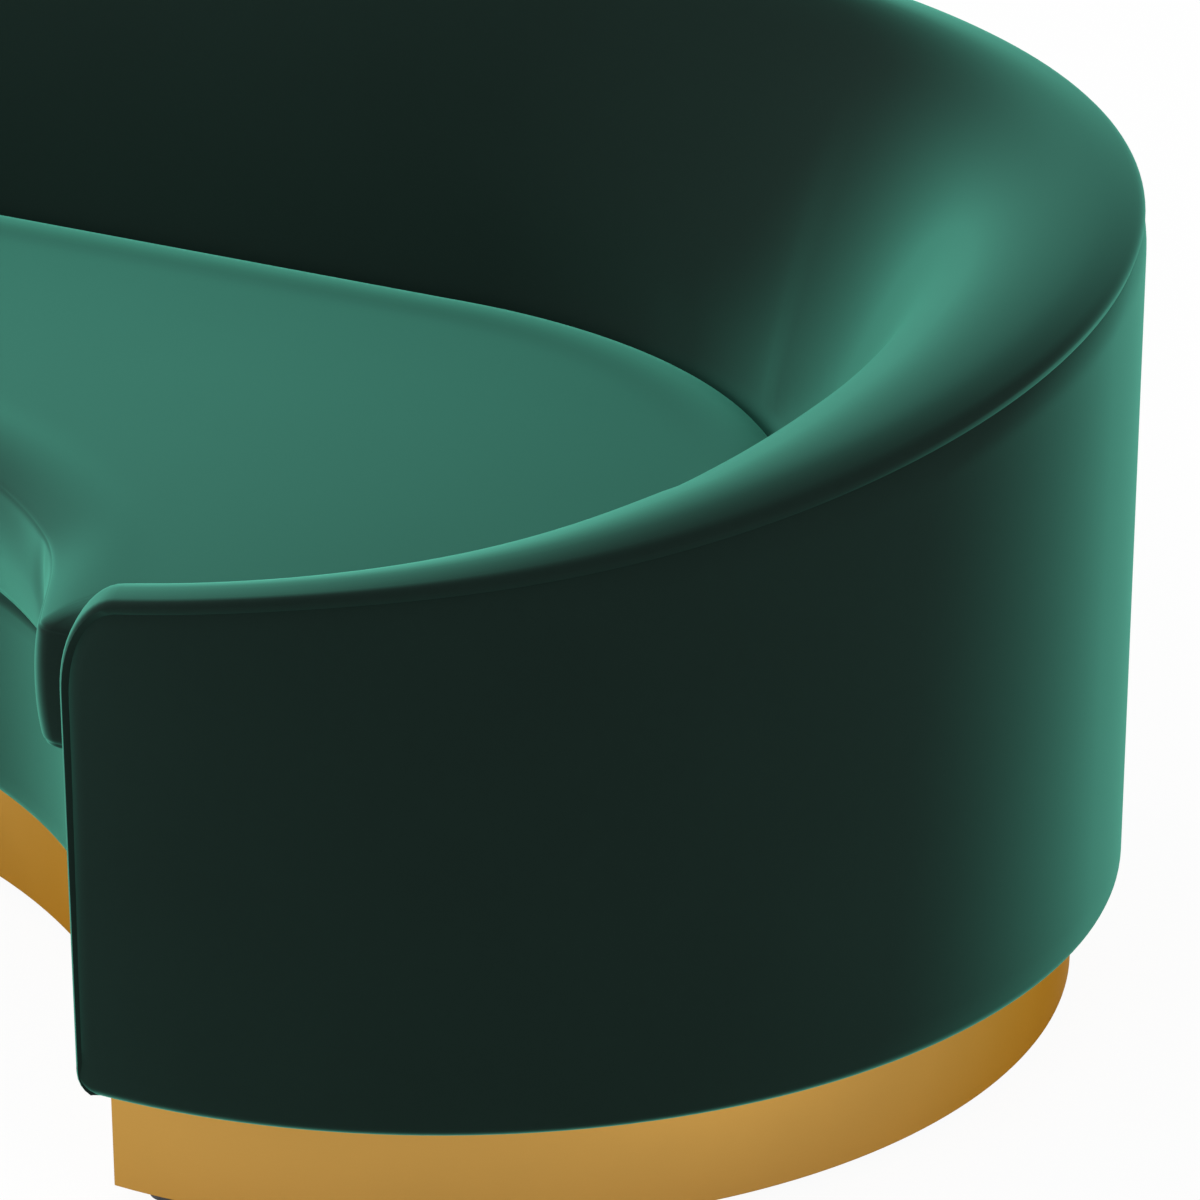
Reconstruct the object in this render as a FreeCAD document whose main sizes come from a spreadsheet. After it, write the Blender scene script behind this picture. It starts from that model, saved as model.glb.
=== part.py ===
import FreeCAD, Part
import math
import os
import re

# Curved corner sofa: two round lobes joined by a straight back, a concave front,
# a rim that climbs from the arm ends to the back, one loose seat cushion and a metal plinth.
# X runs along the back, Y points to the back, Z is up; the origin is on the floor at the middle.

SIZES = {
    "lobe_offset": 720,          # middle of the sofa to the centre of a round end
    "lobe_radius": 570,          # outer face of the round ends and of the back
    "waist_reach": 67,           # front of the waist, in front of the line of lobe centres
    "glide_height": 12,
    "glide_diameter": 30,
    "glide_inset": 27,           # skirt's face to the middle of a glide
    "glide_spread": 345,         # middle of the sofa to a front glide
    "screw_diameter": 4,
    "screw_head": 8,
    "screw_recess": 4,
    "screw_head_height": 3,
    "screw_bite": 12,            # length of screw in the bottom board
    "plinth_height": 100,
    "plinth_inset": 40,          # outer cover to skirt, round the ends and the back
    "plinth_front_inset": 18,    # apron to skirt, along the front
    "skirt_thickness": 3,
    "former_thickness": 12,
    "bottom_board_thickness": 15,
    "plinth_rib_thickness": 18,
    "plinth_rib_spread": 360,
    "block_side": 70,
    "block_front_y": 330,
    "block_back_x": 540,
    "block_back_y": 380,
    "bolt_diameter": 8,
    "bolt_head": 16,
    "bolt_head_height": 6,
    "bolt_bite": 16,             # length of bolt in the chassis board
    "chassis_thickness": 18,
    "cover_thickness": 8,        # outer cover panels
    "apron_thickness": 10,       # apron and arm facings
    "frame_depth": 25,           # uprights, ribs, posts and top rails
    "rail_thickness": 25,        # rails under the deck
    "rail_height": 20,           # top rails
    "rib_width": 40,
    "post_width": 60,
    "corner_reach": 66,          # slanted corner of the post and the top rail, along the arm
    "corner_drop": 90,           # slanted corner of the post and the top rail, downward
    "upright_spread": 400,
    "stretcher_thickness": 25,
    "stretcher_height": 90,
    "stretcher_spread": 360,
    "deck_top": 304,
    "deck_thickness": 15,
    "opening_offset": 600,       # webbed opening of the deck: lobes joined by a straight part
    "opening_radius": 300,
    "opening_y": 30,
    "opening_front": 100,        # front of the apron to the opening
    "strap_width": 60,
    "strap_thickness": 2.5,
    "strap_pitch": 260,
    "strap_hold": 35,            # length of strap that lies on the deck at each end
    "deck_cloth_thickness": 1,
    "deck_cloth_hold": 40,
    "arm_height": 515,           # rim seam at the arm end
    "back_height": 742,          # rim seam along the back
    "rim_swell": 0.085,          # how the rim's climb departs from a steady one
    "rim_sway": 0.03,
    "rim_width": 44,
    "rim_rise": 12,              # top of the rolled rim above its seam
    "rim_drop": 4,
    "slope_dish": 10,            # hollow of the padding between rim and seat
    "arm_thickness": 153,        # outer cover to seat, at the arm end
    "side_thickness": 286,
    "back_thickness": 115,
    "seat_end_radius": 400,
    "seat_end_ease": 10,         # the seat's end rounding stays this far under half the seat's depth
    "seat_corner_radius": 558,
    "pad_edge": 420,             # height where the padding turns upright beside the cushion
    "clearance": 0.3,
    "pad_trim": 4,               # padding past the seat's outline before it is trimmed to the cushion
    "cushion_gap": 1.5,          # cushion to padding
    "cushion_front_radius": 690,
    "cushion_overhang": 5,       # cushion past the apron at the waist
    "cushion_tip_radius": 45,
    "cushion_height": 108,       # bottom to top seam
    "cushion_crown": 15,
    "crown_reach": 180,          # top seam to the level part of the crown
    "cushion_draw": 9,           # how far the seams are drawn in from the bulge
    "cushion_cover_thickness": 3,
}

doc = FreeCAD.newDocument("sofa")
sheet = doc.addObject("Spreadsheet::Sheet", "Sizes")
for row, (alias, value) in enumerate(SIZES.items(), start=1):
    sheet.set("A%d" % row, alias)
    sheet.set("B%d" % row, str(value))
    sheet.setAlias("B%d" % row, alias)
doc.recompute()


def size(alias):
    return float(sheet.get(alias))


# Expressions that several pieces share.
PLINTH_TOP = "(glide_height + plinth_height)"
BASE_TOP = "(glide_height + plinth_height + chassis_thickness)"
SAG = "(lobe_radius - waist_reach)"
FRONT = "((lobe_offset^2 + %s^2) / (2 * %s))" % (SAG, SAG)
FRONT_Y = "(0 - waist_reach - %s)" % FRONT
SKIRT_IN = "(plinth_inset + skirt_thickness)"
FORMER_IN = "(plinth_inset + skirt_thickness + former_thickness)"
FRONT_SKIRT_IN = "(plinth_front_inset + skirt_thickness)"
FRONT_FORMER_IN = "(plinth_front_inset + skirt_thickness + former_thickness)"
FRAME_IN = "(cover_thickness + frame_depth)"
RAIL_IN = "(cover_thickness + frame_depth + rail_thickness)"
FRONT_RAIL_IN = "(apron_thickness + rail_thickness)"


def bind(obj, prop, text):
    # Ties a property to the sheet; words that are aliases are looked up there.
    named = re.sub(r"[a-z][a-z_]+", lambda m: "Sizes." + m[0] if m[0] in SIZES else m[0], text)
    obj.setExpression(prop, named)


def place(obj, x, y, z):
    for axis, text in zip("xyz", (x, y, z)):
        bind(obj, "Placement.Base." + axis, text)


def box(name, corner, sides):
    obj = doc.addObject("Part::Box", name)
    for prop, text in zip(("Length", "Width", "Height"), sides):
        bind(obj, prop, text)
    place(obj, *corner)
    return obj


def disc(name, middle, radius, height):
    obj = doc.addObject("Part::Cylinder", name)
    bind(obj, "Radius", radius)
    bind(obj, "Height", height)
    place(obj, *middle)
    return obj


def cut(name, base, tool):
    obj = doc.addObject("Part::Cut", name)
    obj.Base = base
    obj.Tool = tool
    return obj


def common(name, base, tool):
    obj = doc.addObject("Part::Common", name)
    obj.Base = base
    obj.Tool = tool
    return obj


def fuse(name, shapes):
    obj = doc.addObject("Part::MultiFuse", name)
    obj.Shapes = shapes
    obj.Refine = True
    return obj


def group(name, members):
    obj = doc.addObject("Part::Compound", name)
    obj.Links = members
    return obj


def mirrored(name, source):
    obj = doc.addObject("Part::Mirroring", name)
    obj.Source = source
    obj.Base = FreeCAD.Vector(0, 0, 0)
    obj.Normal = FreeCAD.Vector(1, 0, 0)
    return obj


def front_disc(name, inset, z, height):
    # The round that hollows the sofa's front, set back from the apron's face.
    return disc(name, ("0", FRONT_Y, z), "%s + %s" % (FRONT, inset), height)


def kidney(name, outer, front, z, height):
    # Solid of the sofa's plan, set in from its outer cover and from its apron.
    reach = "(lobe_radius - %s)" % outer
    right = disc(name + "_r", ("lobe_offset", "0", z), reach, height)
    left = disc(name + "_l", ("0 - lobe_offset", "0", z), reach, height)
    middle = box(
        name + "_m",
        ("0 - lobe_offset", "0 - " + reach, z),
        ("2 * lobe_offset", "2 * " + reach, height),
    )
    whole = fuse(name + "_plan", [right, left, middle])
    return cut(name, whole, front_disc(name + "_f", front, z, height))


def end_band(name, outer, inner, front, z, height):
    # Upright band round the right-hand end, from the front hollow to the straight back.
    ring = cut(
        name + "_ring",
        disc(name + "_o", ("lobe_offset", "0", z), "lobe_radius - %s" % outer, height),
        disc(name + "_i", ("lobe_offset", "0", z), "lobe_radius - %s" % inner, height),
    )
    side = box(
        name + "_side",
        ("lobe_offset", "0 - lobe_radius", z),
        ("2 * lobe_radius", "2 * lobe_radius", height),
    )
    half = common(name + "_half", ring, side)
    return cut(name, half, front_disc(name + "_f", front, z, height))


def back_band(name, outer, inner, z, height):
    return box(
        name,
        ("0 - lobe_offset", "lobe_radius - %s" % inner, z),
        ("2 * lobe_offset", "%s - %s" % (inner, outer), height),
    )


def front_band(name, outer, near, far, z, height):
    # Upright band along the concave front, between two distances behind the apron's face.
    near_plan = kidney(name + "_n", outer, near, z, height)
    return common(name, near_plan, front_disc(name + "_far", far, z, height))


PIECES = []


def piece(obj, label):
    obj.Label = label
    PIECES.append(obj)
    return obj


def piece_pair(obj, label):
    piece(obj, label + "_right")
    return piece(mirrored(label + "_mirror", obj), label + "_left")


# Plinth: metal skirt, bent formers behind it, bottom board, cross ribs and bolted blocks.
skirt = ("glide_height", "plinth_height")
piece(
    front_band("skirt_f", "plinth_inset", "plinth_front_inset", FRONT_SKIRT_IN, *skirt),
    "plinth_skirt_front",
)
piece(back_band("skirt_b", "plinth_inset", SKIRT_IN, *skirt), "plinth_skirt_back")
piece_pair(end_band("skirt_e", "plinth_inset", SKIRT_IN, FRONT_SKIRT_IN, *skirt), "plinth_skirt")
piece(front_band("former_f", SKIRT_IN, FRONT_SKIRT_IN, FRONT_FORMER_IN, *skirt), "plinth_former_front")
piece(back_band("former_b", SKIRT_IN, FORMER_IN, *skirt), "plinth_former_back")
piece_pair(end_band("former_e", SKIRT_IN, FORMER_IN, FRONT_FORMER_IN, *skirt), "plinth_former")

bolts = []
blocks = []
for number, (x, y) in enumerate((
    ("lobe_offset", "0 - block_front_y"),
    ("block_back_x", "block_back_y"),
    ("0 - lobe_offset", "0 - block_front_y"),
    ("0 - block_back_x", "block_back_y"),
), start=1):
    shank = disc(
        "bolt_shank_%d" % number, (x, y, "glide_height"), "bolt_diameter / 2", "plinth_height + bolt_bite"
    )
    head = disc("bolt_head_%d" % number, (x, y, "glide_height"), "bolt_head / 2", "bolt_head_height")
    bolts.append(fuse("bolt_%d" % number, [shank, head]))
    corner = (
        "%s - block_side / 2" % x,
        "%s - block_side / 2" % y,
        "glide_height + bottom_board_thickness",
    )
    raw = box(
        "block_raw_%d" % number,
        corner,
        ("block_side", "block_side", "plinth_height - bottom_board_thickness"),
    )
    blocks.append(cut("block_%d" % number, raw, bolts[-1]))
all_bolts = piece(group("bolts", bolts), "plinth_bolts")
for number, block in enumerate(blocks, start=1):
    piece(block, "plinth_block_%d" % number)

glides = []
screws = []
glide_reach = "(lobe_radius - plinth_inset - glide_inset)"
front_reach = "(%s + plinth_front_inset + glide_inset)" % FRONT
spots = []
for angle in (-86, -50, 30, 86):
    away = "(lobe_offset + %s * cos(%d deg))" % (glide_reach, angle)
    along = "(%s * sin(%d deg))" % (glide_reach, angle)
    spots.append((away, along))
    spots.append(("0 - " + away, along))
behind = "(%s + sqrt(%s^2 - glide_spread^2))" % (FRONT_Y, front_reach)
spots.append(("glide_spread", behind))
spots.append(("0 - glide_spread", behind))
for number, (x, y) in enumerate(spots, start=1):
    shank = disc("screw_shank_%d" % number, (x, y, "screw_recess"), "screw_diameter / 2",
                 "glide_height - screw_recess + screw_bite")
    head = disc("screw_head_%d" % number, (x, y, "screw_recess - screw_head_height"), "screw_head / 2",
                "screw_head_height")
    screws.append(fuse("screw_%d" % number, [shank, head]))
    foot = disc("glide_raw_%d" % number, (x, y, "0"), "glide_diameter / 2", "glide_height")
    recess = disc("glide_recess_%d" % number, (x, y, "0"), "screw_head / 2", "screw_recess")
    bored = cut("glide_bored_%d" % number, foot, recess)
    glides.append(cut("glide_%d" % number, bored, screws[-1]))
piece(group("glides", glides), "floor_glides")
all_screws = piece(group("screws", screws), "glide_screws")

board = kidney("board_raw", FORMER_IN, FRONT_FORMER_IN, "glide_height", "bottom_board_thickness")
board_screwed = cut("board_screwed", board, all_screws)
piece(cut("board", board_screwed, all_bolts), "plinth_bottom_board")

inner_plinth = kidney(
    "plinth_space", FORMER_IN, FRONT_FORMER_IN,
    "glide_height + bottom_board_thickness", "plinth_height - bottom_board_thickness",
)
for name, x in (("left", "0 - plinth_rib_spread"), ("right", "plinth_rib_spread")):
    slab = box(
        "plinth_rib_slab_" + name,
        ("%s - plinth_rib_thickness / 2" % x, "0 - lobe_radius", "glide_height + bottom_board_thickness"),
        ("plinth_rib_thickness", "2 * lobe_radius", "plinth_height - bottom_board_thickness"),
    )
    piece(common("plinth_rib_" + name, slab, inner_plinth), "plinth_rib_" + name)

# Seat frame: chassis board, rails all round, stretchers and the deck with its webbed opening.
chassis = kidney("chassis_raw", "cover_thickness", "apron_thickness", PLINTH_TOP, "chassis_thickness")
piece(cut("chassis", chassis, all_bolts), "chassis_board")

rail = (BASE_TOP, "deck_top - deck_thickness - %s" % BASE_TOP)
piece(front_band("rail_f", FRAME_IN, "apron_thickness", FRONT_RAIL_IN, *rail), "front_rail")
piece(back_band("rail_b", FRAME_IN, RAIL_IN, *rail), "back_rail")
piece_pair(end_band("rail_e", FRAME_IN, RAIL_IN, FRONT_RAIL_IN, *rail), "end_rail")

inner_seat = kidney("seat_space", RAIL_IN, FRONT_RAIL_IN, BASE_TOP, "stretcher_height")
for name, x in (("left", "0 - stretcher_spread"), ("right", "stretcher_spread")):
    slab = box(
        "stretcher_slab_" + name,
        ("%s - stretcher_thickness / 2" % x, "0 - lobe_radius", BASE_TOP),
        ("stretcher_thickness", "2 * lobe_radius", "stretcher_height"),
    )
    piece(common("stretcher_" + name, slab, inner_seat), "stretcher_" + name)


def opening(name, extra, z, height):
    # Solid of the webbed opening's plan, grown by a margin on every side.
    reach = "(opening_radius + %s)" % extra
    right = disc(name + "_r", ("opening_offset", "opening_y", z), reach, height)
    left = disc(name + "_l", ("0 - opening_offset", "opening_y", z), reach, height)
    middle = box(
        name + "_m",
        ("0 - opening_offset", "opening_y - " + reach, z),
        ("2 * opening_offset", "2 * " + reach, height),
    )
    whole = fuse(name + "_plan", [right, left, middle])
    return cut(name, whole, front_disc(name + "_f", "(opening_front - %s)" % extra, z, height))


deck = kidney("deck_raw", FRAME_IN, "apron_thickness", "deck_top - deck_thickness", "deck_thickness")
deck_hole = opening("deck_hole", "0", "deck_top - deck_thickness", "deck_thickness")
piece(cut("deck", deck, deck_hole), "deck_board")

strap_plan = opening("strap_plan", "strap_hold", "deck_top", "strap_thickness")
for number in range(7):
    slab = box(
        "strap_slab_%d" % number,
        ("%d * strap_pitch - strap_width / 2" % (number - 3), "0 - lobe_radius", "deck_top"),
        ("strap_width", "2 * lobe_radius", "strap_thickness"),
    )
    piece(common("strap_%d" % number, slab, strap_plan), "webbing_strap_%d" % (number + 1))
piece(
    opening("deck_cloth_plan", "deck_cloth_hold", "deck_top + strap_thickness", "deck_cloth_thickness"),
    "deck_cloth",
)


# Back and arm frame. The rim's seam climbs with the angle round the end, from arm to back.
def climb(angle):
    turn = max(0.0, (angle + 90) / 180)
    swell = math.sin(math.pi * turn) ** 2
    sway = math.sin(2 * math.pi * turn)
    return turn, swell, sway


def seam_height(angle):
    turn, swell, sway = climb(angle)
    rise = turn + size("rim_swell") * swell - size("rim_sway") * sway
    return size("arm_height") + (size("back_height") - size("arm_height")) * rise


def seam_text(angle):
    turn, swell, sway = climb(angle)
    rise = "(%.6f + rim_swell * %.6f - rim_sway * %.6f)" % (turn, swell, sway)
    return "(arm_height + (back_height - arm_height) * %s)" % rise


STATIONS = [-112.5 + 22.5 * step for step in range(10)]


def at_end(angle):
    # Maps distance inward and height to a point in the upright plane at an angle round the right end.
    cos, sin = math.cos(math.radians(angle)), math.sin(math.radians(angle))

    def point(inward, height):
        reach = size("lobe_radius") - inward
        return FreeCAD.Vector(size("lobe_offset") + reach * cos, reach * sin, height)
    return point


def at_back(x):
    return lambda inward, height: FreeCAD.Vector(x, size("lobe_radius") - inward, height)


def polygon_wire(points):
    return Part.makePolygon(points + points[:1])


def end_envelope(name, drop):
    # Solid under the climbing rim of the right end, wide enough to trim bands with.
    wires = []
    for angle in STATIONS:
        point = at_end(angle)
        top = seam_height(angle) - drop
        wide = size("frame_depth") + size("cover_thickness") + size("rail_thickness")
        wires.append(polygon_wire([point(-wide, 0), point(-wide, top), point(wide, top), point(wide, 0)]))
    obj = doc.addObject("Part::Feature", name)
    obj.Shape = Part.makeLoft(wires, True, False)
    return obj


def corner_space(name):
    # Solid above the slant that keeps the frame inside the padding's rounded corner at the arm's front.
    front = size("lobe_offset") + size("apron_thickness")
    far = size("lobe_offset") + size("corner_reach")
    near = size("lobe_offset") - size("corner_reach")
    low, high = size("arm_height") - size("corner_drop"), size("back_height") + size("rim_rise")
    outline = [(near, low), (front, low), (far, size("arm_height")), (far, high), (near, high)]
    wire = polygon_wire([FreeCAD.Vector(x, 0, z) for x, z in outline])
    obj = doc.addObject("Part::Feature", name)
    obj.Shape = Part.Face(wire).extrude(FreeCAD.Vector(0, -2 * size("lobe_radius"), 0))
    return obj


rim_space = end_envelope("rim_space", 0)
rail_space = end_envelope("rail_space", size("rail_height"))

tall = "back_height + rim_rise"
panel = end_band("panel_raw", "0", "cover_thickness", "apron_thickness", PLINTH_TOP, tall)
piece_pair(common("panel", panel, rim_space), "outer_cover")
piece(
    back_band("panel_b", "0", "cover_thickness", PLINTH_TOP, "back_height - %s" % PLINTH_TOP),
    "outer_cover_back",
)

rim_band = end_band("top_rail_raw", "cover_thickness", FRAME_IN, "apron_thickness", "arm_height / 2", tall)
rim_part = common("top_rail_part", rim_band, rim_space)
rail_part = cut("top_rail_end", rim_part, rail_space)
piece_pair(cut("top_rail", rail_part, corner_space("rail_corner")), "top_rail")
piece(
    back_band("top_rail_b", "cover_thickness", FRAME_IN, "back_height - rail_height", "rail_height"),
    "top_rail_back",
)

post_band = end_band("post_raw", "cover_thickness", FRAME_IN, "apron_thickness", BASE_TOP, tall)
post_part = common("post_part", post_band, rail_space)
post_side = box(
    "post_side", ("lobe_offset", "0 - lobe_radius", BASE_TOP), ("post_width", "lobe_radius", "arm_height")
)
post_end = common("post_end", post_part, post_side)
piece_pair(cut("post", post_end, corner_space("post_corner")), "arm_post")

ribs = end_band("rib_raw", "cover_thickness", FRAME_IN, "apron_thickness", BASE_TOP, tall)
rib_part = common("rib_part", ribs, rail_space)
for number, angle in enumerate((-45, 10, 65), start=1):
    slab = box("rib_slab_%d" % number, ("0", "0", BASE_TOP), ("2 * lobe_radius", "rib_width", tall))
    spin = FreeCAD.Rotation(FreeCAD.Vector(0, 0, 1), angle)
    slab.Placement = FreeCAD.Placement(FreeCAD.Vector(0, 0, 0), spin)
    place(
        slab,
        "lobe_offset + rib_width / 2 * sin(%d deg)" % angle,
        "0 - rib_width / 2 * cos(%d deg)" % angle,
        BASE_TOP,
    )
    piece_pair(common("rib_%d" % number, rib_part, slab), "end_rib_%d" % number)
for name, x in (("left", "0 - upright_spread"), ("middle", "0"), ("right", "upright_spread")):
    upright = box(
        "upright_" + name,
        ("%s - rib_width / 2" % x, "lobe_radius - %s" % FRAME_IN, BASE_TOP),
        ("rib_width", "frame_depth", "back_height - rail_height - %s" % BASE_TOP),
    )
    piece(upright, "back_upright_" + name)


# Plan of the seat: the straight back, a wide corner, the round end, the tip and the concave front.
def tangent_chain(inset):
    # Centres and radii of the seat's right half, drawn in evenly by an inset.
    depth = 2 * size("lobe_radius") - size("arm_thickness") - size("back_thickness")
    end_r = min(size("seat_end_radius"), depth / 2 - size("seat_end_ease"))
    end_x = size("lobe_offset") + size("lobe_radius") - size("side_thickness") - end_r
    end_y = end_r - (size("lobe_radius") - size("arm_thickness"))
    back_y = size("lobe_radius") - size("back_thickness")
    corner_r = size("seat_corner_radius")
    corner_y = back_y - corner_r
    corner_x = end_x - math.sqrt((corner_r - end_r) ** 2 - (end_y - corner_y) ** 2)
    front_r = size("cushion_front_radius")
    front_y = -size("waist_reach") - size("cushion_overhang") - front_r
    return {
        "back_y": back_y - inset,
        "corner": (corner_x, corner_y, corner_r - inset),
        "end": (end_x, end_y, end_r - inset),
        "front": (0.0, front_y, front_r + inset),
        "tip": tip_centre(end_x, end_y, end_r - inset, front_y, front_r + inset),
    }


def tip_centre(end_x, end_y, end_r, front_y, front_r):
    # Centre of the tip's arc: inside the end's arc and outside the front's, by the tip's radius.
    tip_r = size("cushion_tip_radius")
    near = end_r - tip_r
    far = front_r + tip_r
    gap = math.hypot(end_x, end_y - front_y)
    along = (far ** 2 - near ** 2 + gap ** 2) / (2 * gap)
    aside = math.sqrt(far ** 2 - along ** 2)
    ux, uy = end_x / gap, (end_y - front_y) / gap
    return along * ux + aside * uy, front_y + along * uy - aside * ux


def toward(start, goal, reach):
    length = math.hypot(goal[0] - start[0], goal[1] - start[1])
    return (
        start[0] + (goal[0] - start[0]) * reach / length,
        start[1] + (goal[1] - start[1]) * reach / length,
    )


def middle_of(centre, radius, first, last):
    # Point of an arc half-way between two of its points, on their shorter side.
    half = ((first[0] + last[0]) / 2, (first[1] + last[1]) / 2)
    return toward(centre, half, radius)


def seat_points(inset):
    # Corner points and arc middles of the seat's right half, from the back's middle to the front's.
    plan = tangent_chain(inset)
    cx, cy, cr = plan["corner"]
    ex, ey, er = plan["end"]
    fx, fy, fr = plan["front"]
    tip = plan["tip"]
    back = (cx, plan["back_y"])
    turn = toward((cx, cy), (ex, ey), cr)
    end_stop = toward((ex, ey), tip, er)
    tip_stop = toward((fx, fy), tip, fr)
    waist = (0.0, fy + fr)
    first = math.atan2(turn[1] - ey, turn[0] - ex)
    last = math.atan2(end_stop[1] - ey, end_stop[0] - ex)
    split = (first + last) / 2
    right = (ex + er * math.cos(split), ey + er * math.sin(split))
    return {
        "back": back,
        "corner_mid": middle_of((cx, cy), cr, back, turn),
        "turn": turn,
        "right": right,
        "upper_mid": middle_of((ex, ey), er, turn, right),
        "lower_mid": middle_of((ex, ey), er, right, end_stop),
        "end_stop": end_stop,
        "tip_mid": middle_of(tip, size("cushion_tip_radius"), end_stop, tip_stop),
        "tip_stop": tip_stop,
        "waist": waist,
    }


def seat_wire(inset, height):
    # Closed outline of the seat at a height, drawn in by an inset.
    spots = seat_points(inset)

    def at(name, side):
        return FreeCAD.Vector(side * spots[name][0], spots[name][1], height)

    def arc(first, mid, last, side):
        return Part.Arc(at(first, side), at(mid, side), at(last, side)).toShape()

    edges = [Part.LineSegment(at("back", -1), at("back", 1)).toShape()]
    for first, mid, last in (
        ("back", "corner_mid", "turn"),
        ("turn", "upper_mid", "right"),
        ("right", "lower_mid", "end_stop"),
        ("end_stop", "tip_mid", "tip_stop"),
    ):
        edges.append(arc(first, mid, last, 1))
    edges.append(Part.Arc(at("tip_stop", 1), at("waist", 1), at("tip_stop", -1)).toShape())
    for first, mid, last in (
        ("tip_stop", "tip_mid", "end_stop"),
        ("end_stop", "lower_mid", "right"),
        ("right", "upper_mid", "turn"),
        ("turn", "corner_mid", "back"),
    ):
        edges.append(arc(first, mid, last, -1))
    return Part.Wire(edges)


# Padding: sections from the rim's seam over the rolled rim and down the slope to the deck.
def seat_reach(angle):
    # Distance inward from the outer cover to the seat's outline, at an angle round the right end.
    # The corner's arc counts above the point where it turns into the end's arc.
    plan = tangent_chain(0)
    cos, sin = math.cos(math.radians(angle)), math.sin(math.radians(angle))
    turn = math.atan2(plan["end"][1] - plan["corner"][1], plan["end"][0] - plan["corner"][0])
    for x, y, radius in (plan["corner"], plan["end"]):
        dx, dy = size("lobe_offset") - x, -y
        along = dx * cos + dy * sin
        hit = math.sqrt(along ** 2 - dx ** 2 - dy ** 2 + radius ** 2) - along
        if math.atan2(dy + hit * sin, dx + hit * cos) >= turn:
            break
    return size("lobe_radius") - hit


def back_reach(x):
    cx, cy, radius = tangent_chain(0)["corner"]
    over = max(0.0, abs(x) - cx)
    return size("lobe_radius") - (cy + math.sqrt(radius ** 2 - over ** 2))


def pad_wire(point, seam, reach, foot, inner):
    # Section of the padding; inner is where it meets the frame, foot is its lowest height.
    seam = seam + size("clearance")
    rim = (size("rim_width"), seam + size("rim_drop"))
    edge = (reach, size("pad_edge"))
    length = math.hypot(edge[0] - rim[0], edge[1] - rim[1])
    dish = size("slope_dish") / length
    hollow = (
        (rim[0] + edge[0]) / 2 + (edge[1] - rim[1]) * dish,
        (rim[1] + edge[1]) / 2 - (edge[0] - rim[0]) * dish,
    )
    crest = (rim[0] * 0.45, seam + size("rim_rise"))
    edges = [
        Part.Arc(point(0, seam), point(*crest), point(*rim)).toShape(),
        Part.Arc(point(*rim), point(*hollow), point(*edge)).toShape(),
    ]
    corners = [point(*edge), point(reach, foot), point(inner, foot)]
    if inner > 0:
        corners.append(point(inner, seam))
    corners.append(point(0, seam))
    for first, last in zip(corners, corners[1:]):
        edges.append(Part.LineSegment(first, last).toShape())
    return Part.Wire(edges)


frame_face = size("cover_thickness") + size("frame_depth") + size("clearance")
seat_well = doc.addObject("Part::Feature", "seat_well")
seat_floor = Part.Face(seat_wire(-size("cushion_gap"), 0))
seat_well.Shape = seat_floor.extrude(FreeCAD.Vector(0, 0, 2 * size("back_height")))

end_wires = []
for angle in STATIONS:
    reach = seat_reach(angle) + size("pad_trim")
    end_wires.append(pad_wire(at_end(angle), seam_height(angle), reach, size("deck_top"), frame_face))
end_pad_raw = doc.addObject("Part::Feature", "end_pad_raw")
end_pad_raw.Shape = Part.makeLoft(end_wires, True, False)
pad_front = front_disc("pad_front", "(apron_thickness + clearance)", "0", "2 * back_height")
end_pad = cut("end_pad", cut("end_pad_front", end_pad_raw, pad_front), seat_well)
piece_pair(end_pad, "arm_pad")

back_wires = []
corner_x = tangent_chain(0)["corner"][0]
half = size("lobe_offset")
for x in (half, (half + corner_x) / 2, corner_x, 0, -corner_x, -(half + corner_x) / 2, -half):
    reach = back_reach(x) + size("pad_trim")
    back_wires.append(pad_wire(at_back(x), size("back_height"), reach, size("deck_top"), frame_face))
back_pad_raw = doc.addObject("Part::Feature", "back_pad_raw")
back_pad_raw.Shape = Part.makeLoft(back_wires, True, True)
piece(cut("back_pad_shape", back_pad_raw, seat_well), "back_pad")

# Arm facing: covers the arm's end from the plinth up to the rim; the apron runs between the facings.
facing_wires = []
for angle in STATIONS[:4]:
    facing_wires.append(
        pad_wire(at_end(angle), seam_height(angle), seat_reach(angle) - size("cushion_gap"),
                 size("glide_height") + size("plinth_height"), 0)
    )
facing_raw = doc.addObject("Part::Feature", "facing_raw")
facing_raw.Shape = Part.makeLoft(facing_wires, True, False)
facing_far = front_disc("facing_far", "apron_thickness", "0", "2 * back_height")
facing_near = front_disc("facing_near", "0", "0", "2 * back_height")
facing_band = cut("facing_band", facing_far, facing_near)
facing = common("facing", facing_raw, facing_band)
piece_pair(facing, "arm_facing")
apron_low = front_disc("apron_low", "apron_thickness", PLINTH_TOP, "deck_top - %s" % PLINTH_TOP)
apron_hole = front_disc("apron_hole", "0", PLINTH_TOP, "deck_top - %s" % PLINTH_TOP)
apron_ring = cut("apron_ring", apron_low, apron_hole)
apron_side = box(
    "apron_side",
    ("0 - lobe_offset", "0 - lobe_radius + arm_thickness / 2", PLINTH_TOP),
    ("2 * lobe_offset", "lobe_radius", "deck_top"),
)
apron_raw = common("apron_raw", apron_ring, apron_side)
facing_full = doc.addObject("Part::Mirroring", "facing_raw_mirror")
facing_full.Source = facing_raw
facing_full.Normal = FreeCAD.Vector(1, 0, 0)
apron_right = cut("apron_right", apron_raw, facing_raw)
piece(cut("apron", apron_right, facing_full), "front_apron")


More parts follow.
